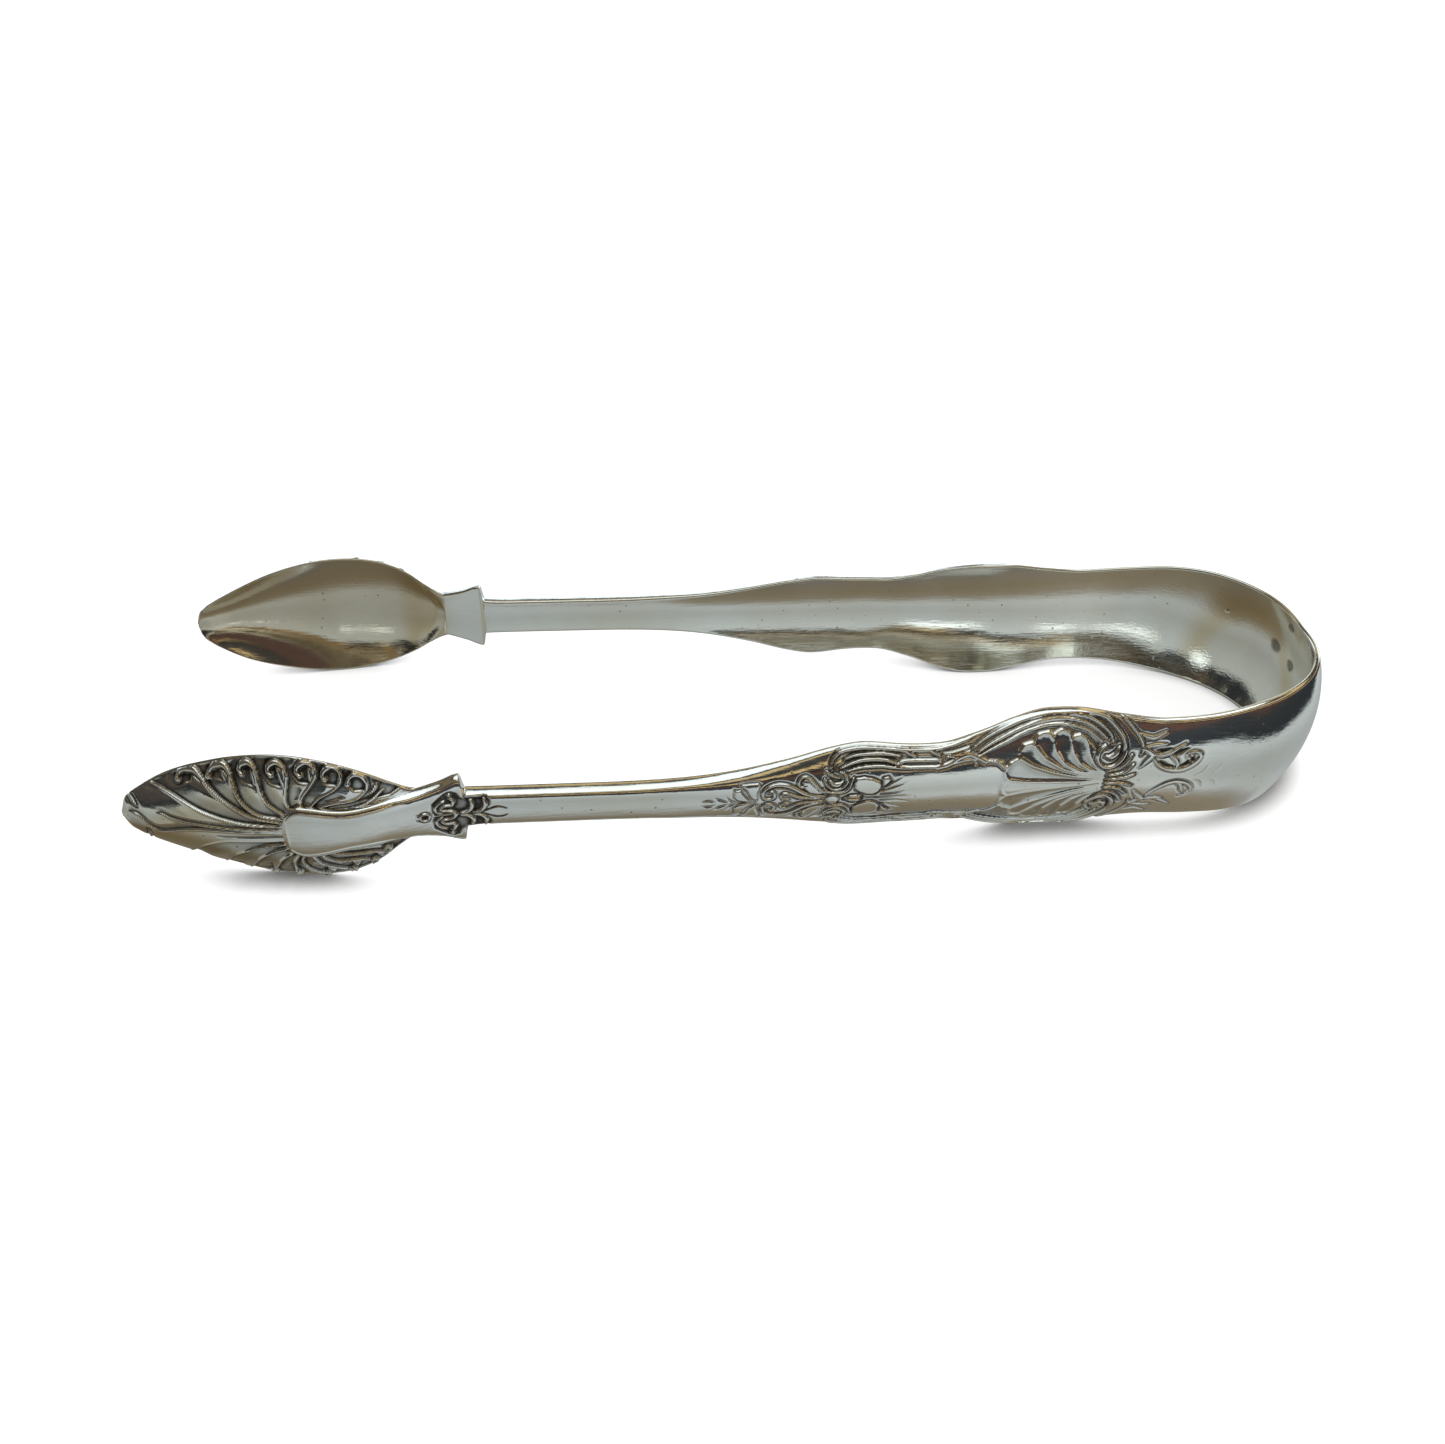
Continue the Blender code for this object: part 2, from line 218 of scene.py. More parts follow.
class Relief:
    """The struck ornament over a stretch of strip, on a raster of station and height.

    raised holds the tops of the strokes, cover says where one hides the ground, carved holds the
    sunk ground round them, cut holds lines that are engraved through everything, and stained
    holds patches of tarnish. strength and spread scale the heights and widths of what follows."""

    PITCH, SOFTNESS = 0.07, 0.05
    # How deep sunk ground, an engraved line and a hollow have to be to gather full tarnish.
    DEEP_GROUND, DEEP_CUT, DEEP_HOLLOW = 0.16, 0.12, 0.06

    def __init__(self, start, end, reach):
        self.s = np.arange(start, end + self.PITCH, self.PITCH)
        self.z = np.arange(-reach, reach + self.PITCH, self.PITCH)
        shape = (len(self.s), len(self.z))
        self.raised, self.cover = np.zeros(shape), np.zeros(shape)
        self.carved, self.cut, self.stained = np.zeros(shape), np.zeros(shape), np.zeros(shape)
        self.strength, self.spread = 1.0, 1.0

    def near(self, path, margin):
        """For the raster near a path: the window, its stations and heights, the distance to the
        path, how far along it, and the side, positive on the left of the way it runs."""
        low, high = path.min(axis=0) - margin, path.max(axis=0) + margin
        rows = slice(*np.searchsorted(self.s, (low[0], high[0])))
        columns = slice(*np.searchsorted(self.z, (low[1], high[1])))
        s, z = np.meshgrid(self.s[rows], self.z[columns], indexing="ij")
        lengths = np.concatenate([[0], np.cumsum(np.hypot(*np.diff(path, axis=0).T))])
        best = np.full(s.shape, 1e9)
        along, side = np.zeros(s.shape), np.zeros(s.shape)
        for i, (a, b) in enumerate(zip(path, path[1:])):
            d = b - a
            t = np.clip(((s - a[0]) * d[0] + (z - a[1]) * d[1]) / max(float(d @ d), 1e-12), 0, 1)
            ds, dz = s - a[0] - t * d[0], z - a[1] - t * d[1]
            distance = np.hypot(ds, dz)
            closer = distance < best
            best = np.where(closer, distance, best)
            along = np.where(closer, (lengths[i] + t * (lengths[i + 1] - lengths[i])) / lengths[-1], along)
            side = np.where(closer, np.sign(d[0] * dz - d[1] * ds), side)
        return (rows, columns), s, z, best, along, side

    def stroke(self, points, width, height, moat=0.0, moat_width=0.3, power=0.5):
        """A raised line through the points, or an engraved one where height is negative. width
        and height are one number or several spread evenly along it; width is to each side."""
        widths = self.spread * np.atleast_1d(width).astype(float)
        heights = self.strength * np.atleast_1d(height).astype(float)
        path = smooth_path(points)
        at, _, _, distance, along, _ = self.near(path, widths.max() + moat_width + 0.2)
        w = np.maximum(np.interp(along, np.linspace(0, 1, len(widths)), widths), 1e-3)
        h = np.interp(along, np.linspace(0, 1, len(heights)), heights)
        top = h * (1 - np.clip(distance / w, 0, 1) ** 2) ** power
        if heights.min() < 0:
            self.cut[at] = np.minimum(self.cut[at], top)
            return
        self.raised[at] = np.maximum(self.raised[at], top)
        self.cover[at] = np.maximum(self.cover[at], smooth_step((1.15 - distance / w) / 0.3))
        if moat:
            sunk = self.strength * moat * smooth_step(1 - (distance - w) / moat_width)
            self.carved[at] = np.minimum(self.carved[at], -sunk)

    def pair(self, points, *sizes, **options):
        """The same stroke above and below the middle."""
        self.stroke(points, *sizes, **options)
        self.stroke([(s, -z) for s, z in points], *sizes, **options)

    def bead(self, centre, radius, height, moat):
        s, z = centre
        self.stroke([(s - 0.01, z), (s + 0.01, z)], radius, height, moat=moat, power=0.7)

    def pit(self, centre, radius, depth):
        s, z = centre
        self.stroke([(s - 0.01, z), (s + 0.01, z)], radius, -depth)

    def ring(self, centre, radius, width, height, moat):
        self.stroke(spiral(centre, radius, radius, 0, 360), width, height, moat=moat, moat_width=0.22)

    def inside(self, outline, margin):
        """The window round a closed outline, the distance to it, and whether a cell is in it."""
        path = np.array([*outline, outline[0]], float)
        at, s, z, distance, _, _ = self.near(path, margin)
        within = np.zeros(s.shape, bool)
        for a, b in zip(path, path[1:]):
            crosses = (a[1] > z) != (b[1] > z)
            reach = a[0] + (z - a[1]) / (b[1] - a[1] if b[1] != a[1] else 1) * (b[0] - a[0])
            within ^= crosses & (s < reach)
        return at, distance, within

    def lobe(self, outline, height, soft, moat=0.2, moat_width=0.35):
        """A flat leaf with soft edges and a sunk line round it, above and below the middle."""
        height, moat = self.strength * height, self.strength * moat
        for side in (1, -1):
            at, distance, within = self.inside([(s, z * side) for s, z in outline], moat_width + 0.1)
            top = np.where(within, height * smooth_step(distance / soft), 0)
            self.raised[at] = np.maximum(self.raised[at], top)
            self.cover[at] = np.maximum(self.cover[at], np.where(within, smooth_step(distance / 0.12), 0))
            sunk = np.where(within, moat, moat * smooth_step(1 - distance / moat_width))
            self.carved[at] = np.minimum(self.carved[at], -sunk)

    def dish(self, outline, depth, rim):
        """A hollow lobe, open at the hub, with a thin raised rim. A negative depth makes it
        swell instead."""
        at, distance, within = self.inside(outline, 0.5)
        hollow = -depth * (1 - (1 - np.clip(distance / 1.1, 0, 1)) ** 2)
        self.carved[at] = np.where(within, hollow, self.carved[at])
        at, _, _, distance, along, _ = self.near(np.array(outline, float), 0.5)
        fade = smooth_step(along / 0.1) * smooth_step((1 - along) / 0.1)
        self.raised[at] = np.maximum(self.raised[at], rim * fade * np.exp(-((distance / 0.2) ** 2)))

    def sink(self, outline, depth):
        """Sunk ground that the ornament stands on, above and below the middle."""
        for side in (1, -1):
            at, distance, within = self.inside([(s, z * side) for s, z in outline], 0.5)
            sunk = np.where(within, depth * smooth_step(distance / 0.25), 0)
            self.carved[at] = np.minimum(self.carved[at], -sunk)

    def stain(self, outline, amount):
        """Tarnish over a patch, fading in from its outline."""
        at, distance, within = self.inside(outline, 0.1)
        patch = np.where(within, amount * smooth_step(distance / 0.7), 0)
        self.stained[at] = np.maximum(self.stained[at], patch)

    def shingle(self, points, depth, width, crest, side):
        """The free edge of a petal: a crest that drops steeply to the next petal on one side."""
        path = smooth_path(points)
        at, _, _, distance, along, left = self.near(path, width)
        fade = smooth_step(along / 0.12) * smooth_step((1 - along) / 0.05)
        drop = -depth * fade * np.clip(1 - distance / width, 0, 1)
        self.carved[at] = np.where(left * side > 0, np.minimum(self.carved[at], drop), self.carved[at])
        top = crest * fade * (1 - np.clip(distance / 0.2, 0, 1) ** 2)
        self.raised[at] = np.maximum(self.raised[at], top)
        self.cover[at] = np.maximum(self.cover[at], fade * smooth_step((1 - distance / 0.2) / 0.5))

    def blurred(self, values, radius):
        """Gaussian blur over a radius in millimetres."""
        reach = int(3 * radius / self.PITCH) + 1
        kernel = np.exp(-0.5 * (np.arange(-reach, reach + 1) * self.PITCH / radius) ** 2)
        kernel /= kernel.sum()
        for axis in (0, 1):
            pad = [(reach, reach) if a == axis else (0, 0) for a in (0, 1)]
            padded = np.pad(values, pad, mode="edge")
            size = values.shape[axis]
            values = sum(k * np.take(padded, range(i, i + size), axis) for i, k in enumerate(kernel))
        return values

    def finish(self, tarnish_knots):
        """Settles the height, and the tarnish that gathers in the hollows, by station."""
        bare = 1 - self.cover
        self.height = self.blurred(self.carved * bare + self.raised + self.cut, self.SOFTNESS)
        hollow = (self.blurred(self.height, 0.3) - self.height) / self.DEEP_HOLLOW
        ground = np.clip(-self.carved / self.DEEP_GROUND, 0, 1) * bare
        ground += np.clip(-self.cut / self.DEEP_CUT, 0, 1)
        amount = eased(tarnish_knots)(self.s)[:, None]
        gathered = amount * (0.6 * hollow + 0.6 * self.blurred(ground, 0.08))
        self.tarnish = np.clip(gathered + self.stained, 0, 1)
        return self

    def sample(self, values, stations, heights):
        """Bilinear values at points, and zero outside the raster."""
        i = (stations - self.s[0]) / self.PITCH
        j = (heights - self.z[0]) / self.PITCH
        inside = (i >= 0) & (j >= 0) & (i < len(self.s) - 1) & (j < len(self.z) - 1)
        i, j = np.clip(i, 0, len(self.s) - 1.001), np.clip(j, 0, len(self.z) - 1.001)
        i0, j0 = i.astype(int), j.astype(int)
        a, b = i - i0, j - j0
        mixed = (
            values[i0, j0] * (1 - a) * (1 - b) + values[i0 + 1, j0] * a * (1 - b)
            + values[i0, j0 + 1] * (1 - a) * b + values[i0 + 1, j0 + 1] * a * b
        )
        return np.where(inside, mixed, 0.0)


# Ornament -----------------------------------------------------------------------------------


def shoulder_ornament(relief):
    """A ring, a double scroll, beads and a small bud where the bowl's neck meets the stem."""
    thin = dict(moat=0.26, moat_width=0.22)
    relief.sink(
        [(37.9, 0), (37.6, 0.8), (37.7, 2.0), (38.5, 2.75), (39.3, 3.45), (40.2, 3.75), (41.0, 3.4),
         (41.4, 2.6), (42.2, 2.5), (43.2, 2.5), (44.5, 2.5), (45.0, 1.9), (44.9, 1.1), (44.3, 0.6),
         (43.2, 0)], 0.2,
    )
    relief.ring((36.85, 0.1), 0.56, 0.16, 0.2, moat=0.24)
    relief.pit((36.85, 0.1), 0.36, 0.26)
    relief.pair(
        [(39.3, 2.25), (38.6, 1.9), (38.15, 1.25), (38.3, 0.65), (38.9, 0.3)], [0.12, 0.2, 0.2, 0.12],
        0.2, **thin,
    )
    relief.pair(
        [(40.0, 2.6), (40.4, 2.1), (40.2, 1.5), (39.4, 1.5), (38.85, 1.15), (38.95, 0.8), (39.8, 0.65)],
        [0.18, 0.22, 0.17, 0.15, 0.15, 0.15], 0.2, **thin,
    )
    relief.stroke(
        [(39.8, 0.65), (40.35, 0.4), (40.6, 0), (40.35, -0.4), (39.8, -0.65)], [0.17, 0.26, 0.17],
        0.24, **thin,
    )
    for side in (1, -1):
        relief.bead((39.95, 3.15 * side), 0.27, 0.26, moat=0.2)
    for shift, size in ((0, 1), (1.6, 1.05)):
        leaf = [(41.1, 0.15), (42.0, 0.32), (42.55, 0.85), (42.65, 1.4), (42.5, 2.05)]
        relief.pair([(s + shift, z * size) for s, z in leaf], [0.1, 0.2, 0.3, 0.27, 0.14], 0.24, **thin)
    relief.pair(
        [(43.9, 0.15), (44.7, 0.5), (45.5, 0.82), (46.2, 0.78), (46.9, 0.5)], [0.05, 0.13, 0.05],
        -0.17,
    )


def spray_ornament(relief):
    """A serrated leaf, a lily with volutes, and a round button at its heart."""
    for line in (
        [(71.3, 0.4), (72.2, 0.5), (73.0, 0.15)], [(72.9, 0.95), (73.6, 0.55), (74.8, 0.1)],
        [(74.35, 1.1), (74.8, 0.5), (75.6, 0.1), (77, 0.1)],
    ):
        relief.pair(line, [0.05, 0.2, 0.16, 0.05], [-0.1, -0.2, -0.16, -0.05])
    soft = dict(height=0.15, soft=0.18, moat=0.2, moat_width=0.26)
    relief.lobe(
        [(75.3, 0.9), (75.35, 2.1), (75.7, 1.9), (76.2, 2.05), (76.5, 1.5), (76.9, 0.9), (77.4, 0.4),
         (78.2, 0.1), (76.6, 0.15), (75.7, 0.4)], **soft,
    )
    relief.lobe(
        [(76.1, 2.65), (77.2, 2.8), (78.4, 2.85), (78.75, 2.6), (78.5, 1.9), (78.25, 1.1), (78.35, 0.45),
         (77.9, 0.35), (77.35, 0.9), (76.95, 1.8)], **soft,
    )
    moat = dict(moat=0.26, moat_width=0.34)
    relief.pair(
        [(87.0, 0.5), (85.6, 0.65), (84.3, 1.1), (83.2, 1.8), (82.2, 2.3), (81, 2.5), (80, 2.3),
         (79.25, 1.85), (78.98, 1.2), (79.2, 0.62), (79.8, 0.38), (80.4, 0.65), (80.55, 1.2),
         (80.2, 1.6), (79.85, 1.45)], [0.08, 0.2, 0.24, 0.26, 0.26, 0.24, 0.2, 0.18, 0.18, 0.18, 0.16],
        [0.12, 0.2, 0.24, 0.24, 0.22], **moat,
    )
    relief.pair(
        [(87, 0.16), (85.2, 0.3), (83.8, 0.5), (82.7, 0.95), (81.9, 1.25), (81.4, 1.0), (81.45, 0.55),
         (81.9, 0.3), (82.4, 0.35)], [0.07, 0.13, 0.16, 0.18, 0.15, 0.13, 0.1], 0.2, **moat,
    )
    relief.lobe(
        [(84.0, 2.9), (84.5, 3.2), (85.1, 2.9), (85.7, 2.2), (86.3, 1.5), (87.0, 0.95), (86.0, 0.85),
         (85.0, 1.1), (84.4, 1.6), (84.1, 2.2)], height=0.16, soft=0.2, moat=0.24,
    )
    relief.pair(
        [(84.6, 2.15), (84.0, 2.0), (83.6, 2.4), (83.65, 3.0), (84.3, 3.4), (85.0, 3.15), (85.7, 2.4),
         (86.3, 1.7), (87, 1.05)], [0.1, 0.17, 0.17, 0.15, 0.1], 0.24, **moat,
    )
    relief.bead((88.0, 0), 0.78, 0.3, moat=0.34)


def first_bulge_ornament(relief):
    """Leaves beyond the button, and threads that run along the edges from a curl."""
    relief.lobe(
        [(89.3, 0.0), (90.2, 0.5), (91.2, 0.62), (92.0, 0.3), (91.4, 0.0)], height=0.2, soft=0.2,
        moat=0.26,
    )
    relief.lobe(
        [(90.7, 2.2), (90.9, 3.0), (92.0, 3.15), (93.2, 2.9), (94.2, 2.4), (94.35, 1.6), (93.9, 0.85),
         (93.2, 0.5), (92.4, 0.55), (91.4, 0.95), (90.8, 1.4)], height=0.14, soft=0.16, moat=0.26,
        moat_width=0.26,
    )
    relief.lobe([(94.5, 1.3), (94.4, 2.9), (95.2, 3.05), (95.6, 2.5), (94.9, 1.7)], height=0.1, soft=0.2)
    for line in (
        [(91.6, 0.04), (94, 0.05), (98.5, 0.1)], [(94.2, 0.5), (96.2, 0.6), (98.2, 1.0)],
        [(94.3, 1.0), (96, 1.55), (97.8, 2.2)], [(94.6, 1.6), (95.8, 2.3), (97.0, 2.9)],
    ):
        relief.pair(line, [0.15, 0.12, 0.05], [-0.16, -0.12, -0.02])
    # The curl where the threads begin.
    moat = dict(moat=0.3, moat_width=0.26)
    for points, widths, height in (
        ([(86.9, 1.7), (87.35, 1.2), (88.4, 1.05), (89.4, 1.1), (90.1, 1.7), (90.4, 2.5), (90.7, 3.1)],
         [0.1, 0.18, 0.18, 0.16, 0.08], 0.22),
        ([(88.9, 3.8), (89.5, 3.5), (89.85, 2.7), (89.45, 1.95), (88.7, 1.55), (87.9, 1.6),
          (87.2, 2.2), (86.9, 3.1)], [0.1, 0.18, 0.2, 0.18, 0.16, 0.16, 0.08], 0.25),
        ([(87.5, 2.8), (88.0, 2.3), (88.6, 2.2), (89.25, 2.6)], [0.1, 0.32, 0.32, 0.1], 0.25),
        ([(87.1, 4.0), (87.6, 3.5), (88.3, 3.2), (88.85, 3.05)], [0.1, 0.18, 0.12], 0.22),
        ([(87.8, 4.0), (87.75, 4.8), (88.1, 5.4), (88.9, 6.0)], [0.12, 0.2, 0.2], 0.24),
    ):
        relief.pair(points, widths, height, **moat)
    # Threads along the bulge.
    edge = [(88.6, 5.9), (90, 6.25), (92, 6.4), (95, 6.2), (98, 5.95), (102, 6.0), (105, 6.7), (107.3, 7.7)]
    relief.pair(edge, 0.2, 0.22, moat=0.2, moat_width=0.25)
    for points, widths, height in (
        ([(89.4, 5.2), (90.6, 5.6), (92.3, 5.75), (94.5, 5.7), (96.6, 5.4)], [0.1, 0.2, 0.22, 0.16],
         0.2),
        ([(88.9, 4.25), (90.4, 4.8), (92, 5.12), (94.5, 5.05), (96, 4.65)], [0.12, 0.22, 0.24, 0.2],
         0.22),
        ([(89.7, 3.85), (91.4, 4.25), (94, 4.35), (96, 4.05), (98, 3.85)], [0.1, 0.2, 0.2, 0.12], 0.2),
    ):
        relief.pair(points, widths, height, **moat)


def edging_ornament(relief):
    """A long leaf, a ribbon and a tip, between the two bulges."""
    moat = dict(moat=0.2, moat_width=0.3)
    for points, widths, height in (
        ([(96.2, 4.3), (97.2, 4.8), (99.4, 4.78), (101.6, 4.7), (102.1, 4.35)], 0.17, 0.2),
        ([(96.3, 4.25), (98, 4.0), (100, 3.95), (101.6, 3.9), (102.1, 4.3)], 0.15, 0.17),
        ([(101.5, 3.8), (103, 4.1), (104.4, 4.85), (105.8, 5.15), (107, 4.7), (107.9, 4.2)], 0.24, 0.2),
        ([(103.6, 4.1), (105, 4.5), (106.4, 4.5), (106.6, 4.0)], [0.08, 0.16, 0.14, 0.06], 0.14),
    ):
        relief.pair(points, widths, height, **moat)
    for line in (
        [(97, 6), (97.8, 5.7), (98.6, 5.2)], [(100.2, 5.95), (101, 5.7), (101.8, 5.2)],
        [(102.4, 5.35), (104, 5.45), (105.7, 5.95)], [(102.8, 4.95), (104.3, 5.1), (105.8, 5.55)],
        [(108.0, 4.3), (109.6, 4.0), (110.6, 3.2), (111.4, 3.8)],
    ):
        relief.pair(line, [0.1, 0.2, 0.12], 0.19, **moat)


def scroll_ornament(relief):
    """The great C-scroll: threads along the second bulge that wind into a volute."""
    moat = dict(moat=0.22, moat_width=0.26)
    for points, widths, height in (
        ([(107, 7.5), (110, 8.65), (113, 9.4), (116, 9.75), (119, 9.75), (121.5, 9.45), (123.6, 8.9),
          (125.2, 7.6), (126.3, 6.1), (126.65, 4.7), (126.2, 3.4), (125.2, 2.5), (124.2, 2.35),
          (123.3, 2.9), (122.9, 3.8), (123.1, 4.8), (123.8, 5.4)],
         [0.2, 0.24, 0.26, 0.26, 0.26, 0.26, 0.24, 0.24, 0.2], 0.32),
        ([(106.2, 5.9), (108, 7.0), (110, 7.9), (112.5, 8.75), (115, 9.2), (118, 9.35), (121, 9.0),
          (123, 8.1), (124.4, 6.9), (124.9, 5.8)], [0.12, 0.22, 0.24, 0.22, 0.12], 0.22),
        ([(106.9, 5.4), (108.5, 6.3), (110.5, 7.2), (112.5, 7.95), (115, 8.6), (118, 8.8),
          (120.7, 8.4), (122.6, 7.5), (124.0, 6.3)], [0.14, 0.22, 0.22, 0.2, 0.1], 0.22),
        ([(107.2, 5.0), (108.4, 5.6), (110.5, 6.5), (113, 7.5), (116, 8.15), (119, 8.05), (121.5, 7.3),
          (123.4, 5.9)], [0.12, 0.18, 0.2, 0.18, 0.08], 0.2),
        ([(125.75, 5.2), (125.4, 4.3), (124.7, 3.85), (123.9, 4.0)], [0.1, 0.34, 0.36, 0.1], 0.3),
        ([(126, 8.8), (127.4, 7.5), (128.5, 6.2), (129, 5.0), (128.8, 3.9)], [0.08, 0.18, 0.22, 0.1],
         0.2),
    ):
        relief.pair(points, widths, height, **moat)


def shell_ornament(relief):
    """A scallop shell that opens towards the bowl, with gadroons on the other side of its hub."""
    hub = 123.9
    borders = [
        [(111.3, 1.35), (113.5, 0.95), (116.5, 0.65), (120, 0.4), (hub, 0.2)],
        [(112.5, 4.3), (114.2, 3.2), (117, 2.1), (120.2, 1.2), (hub, 0.55)],
        [(114.35, 5.8), (116, 3.95), (118.5, 2.4), (121, 1.5), (hub, 0.9)],
        [(116.95, 6.4), (117.3, 4.9), (118.6, 3.1), (120.7, 1.95), (hub, 1.25)],
        [(119.35, 6.2), (119.7, 4.5), (120.7, 3.0), (122.1, 2.1), (hub, 1.6)],
        [(121.6, 5.5), (121.8, 4.2), (122.4, 3.1), (123, 2.4), (hub, 1.95)],
    ]
    tips = [
        [(110.75, 1.9), (110.55, 2.7), (111.1, 3.7)], [(112.35, 5.2), (113.0, 5.9), (113.8, 6.05)],
        [(114.6, 6.8), (115.5, 7.3), (116.4, 7.1)], [(117.2, 7.2), (118.1, 7.5), (119.0, 7.1)],
        [(119.6, 6.6), (120.5, 6.75), (121.2, 6.3)],
    ]
    relief.sink(
        [(107.6, 5.1), (108.2, 4.2), (110.3, 4.0), (110.65, 3.2), (111.4, 3.8), (112.4, 4.3), (112.9, 6.0),
         (114.2, 6.3), (114.9, 7.2), (116.3, 7.4), (117.0, 7.0), (117.8, 7.6), (119.0, 7.3), (119.5, 6.7),
         (120.4, 6.9), (121.4, 6.3), (122.0, 5.5), (122.8, 4.6), (123.2, 5.9), (121.5, 7.2), (119, 8.0),
         (116, 8.1), (113, 7.4), (110.5, 6.4), (108.4, 5.6)], 0.24,
    )
    below = [(s, -z) for s, z in borders[0]]
    relief.dish([*borders[0][::-1], (110.6, 0.8), (110.4, 0), (110.6, -0.8), *below], -0.1, 0.1)
    for lower, upper, tip in zip(borders, borders[1:], tips):
        for side in (1, -1):
            outline = [(s, z * side) for s, z in [*lower[::-1], *tip, *upper]]
            relief.dish(outline, 0.17, 0.13)
    fan = dict(moat=0.45, moat_width=0.2)
    for rib in (
        [(124.6, 0.32), (126.0, 0.36), (127.3, 0.55), (128.4, 1.0)],
        [(124.6, 1.02), (126.0, 1.15), (127.1, 1.65), (128.0, 2.6)],
        [(124.6, 1.75), (125.7, 1.95), (126.8, 2.7), (127.6, 4.0)],
    ):
        relief.pair(rib, [0.14, 0.2, 0.24, 0.24, 0.14], 0.26, **fan)


def tendril_ornament(relief):
    """Leaves and curling tendrils that run out over the plain end of the arm."""
    moat = dict(moat=0.16, moat_width=0.32)
    for points, widths, height in (
        ([(128.4, 6.7), (129.4, 6.3), (130.3, 6.15), (131.2, 6.5), (131.9, 6.8)],
         [0.1, 0.2, 0.24, 0.12], 0.18),
        ([(128.9, 4.7), (129.7, 4.4), (130.3, 3.8), (129.6, 2.9), (128.9, 2.0)],
         [0.12, 0.3, 0.34, 0.26, 0.08], 0.18),
        ([(129.4, 4.9), (130.6, 5.15), (132.2, 5.25)], [0.14, 0.2, 0.06], 0.16),
        ([(130.2, 4.0), (131.4, 3.7), (132.6, 3.95), (133.6, 4.5), (134.7, 5.2)],
         [0.1, 0.2, 0.22, 0.1], 0.17),
    ):
        relief.pair(points, widths, height, **moat)
    relief.stroke(
        [(130.7, 3.2), (131.5, 2.2), (133, 1.5), (134.6, 1.4), (135.8, 1.9), (136.8, 2.8), (137, 3.7),
         (136, 4.1), (135.1, 3.8)], [0.1, 0.24, 0.3, 0.32, 0.3, 0.22, 0.1], 0.19, **moat,
    )
    relief.stroke(
        [(133.0, 3.6), (133.7, 3.0), (134.1, 2.2), (133.8, 1.7)], [0.1, 0.22, 0.2, 0.08], 0.15, **moat,
    )
    for hollow in (
        [(131.5, 2.9), (132.6, 2.15), (133.5, 2.0)], [(134.5, 2.1), (135.3, 2.4), (136.1, 3.1), (136.2, 3.6)],
        [(130.9, 4.45), (131.8, 4.4), (132.9, 4.6)], [(133.4, 3.7), (134.3, 4.2), (135.2, 4.6)],
    ):
        relief.stroke(hollow, [0.1, 0.3, 0.24, 0.1], -0.3)
    for points, widths, height in (
        ([(135.0, 3.6), (135.5, 3.1), (135.9, 2.4)], [0.08, 0.26, 0.1], 0.15),
        ([(131.0, -3.2), (131.8, -2.1), (133.1, -1.0), (134.5, -0.6), (136, -1), (136.8, -1.9),
          (136.6, -2.9), (135.7, -3.4)], [0.1, 0.24, 0.3, 0.3, 0.26, 0.2, 0.1], 0.19),
        ([(134.3, -0.7), (135.2, -1.3), (135.5, -2.1), (135.9, -2.7)], [0.08, 0.2, 0.22, 0.08], 0.15),
        ([(131.2, -4.1), (132.2, -3.6), (133.4, -3.8)], [0.1, 0.2, 0.06], 0.15),
    ):
        relief.stroke(points, widths, height, **moat)
    relief.pair([(137.0, 0.35), (137.9, 0.9), (138.4, 1.9)], [0.06, 0.14, 0.05], -0.1)
    relief.pair([(139.3, 0.5), (140.0, 1.0), (140.4, 1.9)], [0.05, 0.12, 0.04], -0.08)


def arm_relief():
    relief = Relief(34, 142, 10.2)
    for strength, spread, ornament in (
        (1.0, 1.0, shoulder_ornament), (0.75, 1.1, spray_ornament), (0.9, 1.1, first_bulge_ornament),
        (0.85, 1.3, edging_ornament), (1.0, 1.2, scroll_ornament), (0.9, 1.05, shell_ornament),
        (0.65, 1.2, tendril_ornament),
    ):
        relief.strength, relief.spread = strength, spread
        ornament(relief)
    return relief.finish(
        [(34, 1), (46, 1), (70, 0.5), (86, 0.7), (92, 0.8), (97, 0.6), (108, 0.5), (113, 0.3), (122, 0.4),
         (125, 0.9), (128, 0.8), (136, 0.7), (142, 0.3)]
    )


# Crests of a bowl's petals, from the tongue out. Those above run on into hooks along the rim.
HOOKS = [
    [(20.5, 1.0), (17, 1.95), (14.5, 3.6), (12.6, 5.2), (11.2, 6.7), (10.2, 7.35), (9.2, 7.25), (8.3, 6.8),
     (8.05, 6.1)],
    [(20.5, 1.6), (17.6, 2.3), (15.7, 4.2), (15.0, 6.2), (14.7, 7.6), (14.0, 8.4), (13.0, 8.3), (12.2, 7.7),
     (12.0, 7.0)],
    [(20.8, 2.0), (18.9, 3.8), (18.2, 5.6), (18.0, 7.2), (17.7, 8.4), (17.0, 9.0), (16.2, 8.8), (15.8, 8.2),
     (16.1, 7.7)],
    [(21.3, 2.6), (20.9, 4.4), (21.1, 6.0), (21.35, 7.6), (21.1, 8.7), (20.3, 9.2), (19.5, 8.9), (19.2, 8.2),
     (19.6, 7.7)],
    [(22.5, 3.2), (22.9, 4.9), (24.0, 6.4), (24.8, 7.7), (24.6, 8.8), (23.8, 9.3), (22.9, 8.9), (22.6, 8.2),
     (23.0, 7.7)],
    [(23.5, 3.3), (24.9, 4.8), (26.9, 5.9), (27.7, 7.1), (27.5, 8.2), (26.8, 8.75), (26.0, 8.4), (25.6, 7.7),
     (25.9, 7.2)],
    [(24.3, 3.35), (26.2, 3.9), (28.9, 4.1), (30.3, 5.0), (30.6, 6.0), (30.1, 7.1), (29.3, 7.4), (28.6, 7.0),
     (28.4, 6.3)],
]
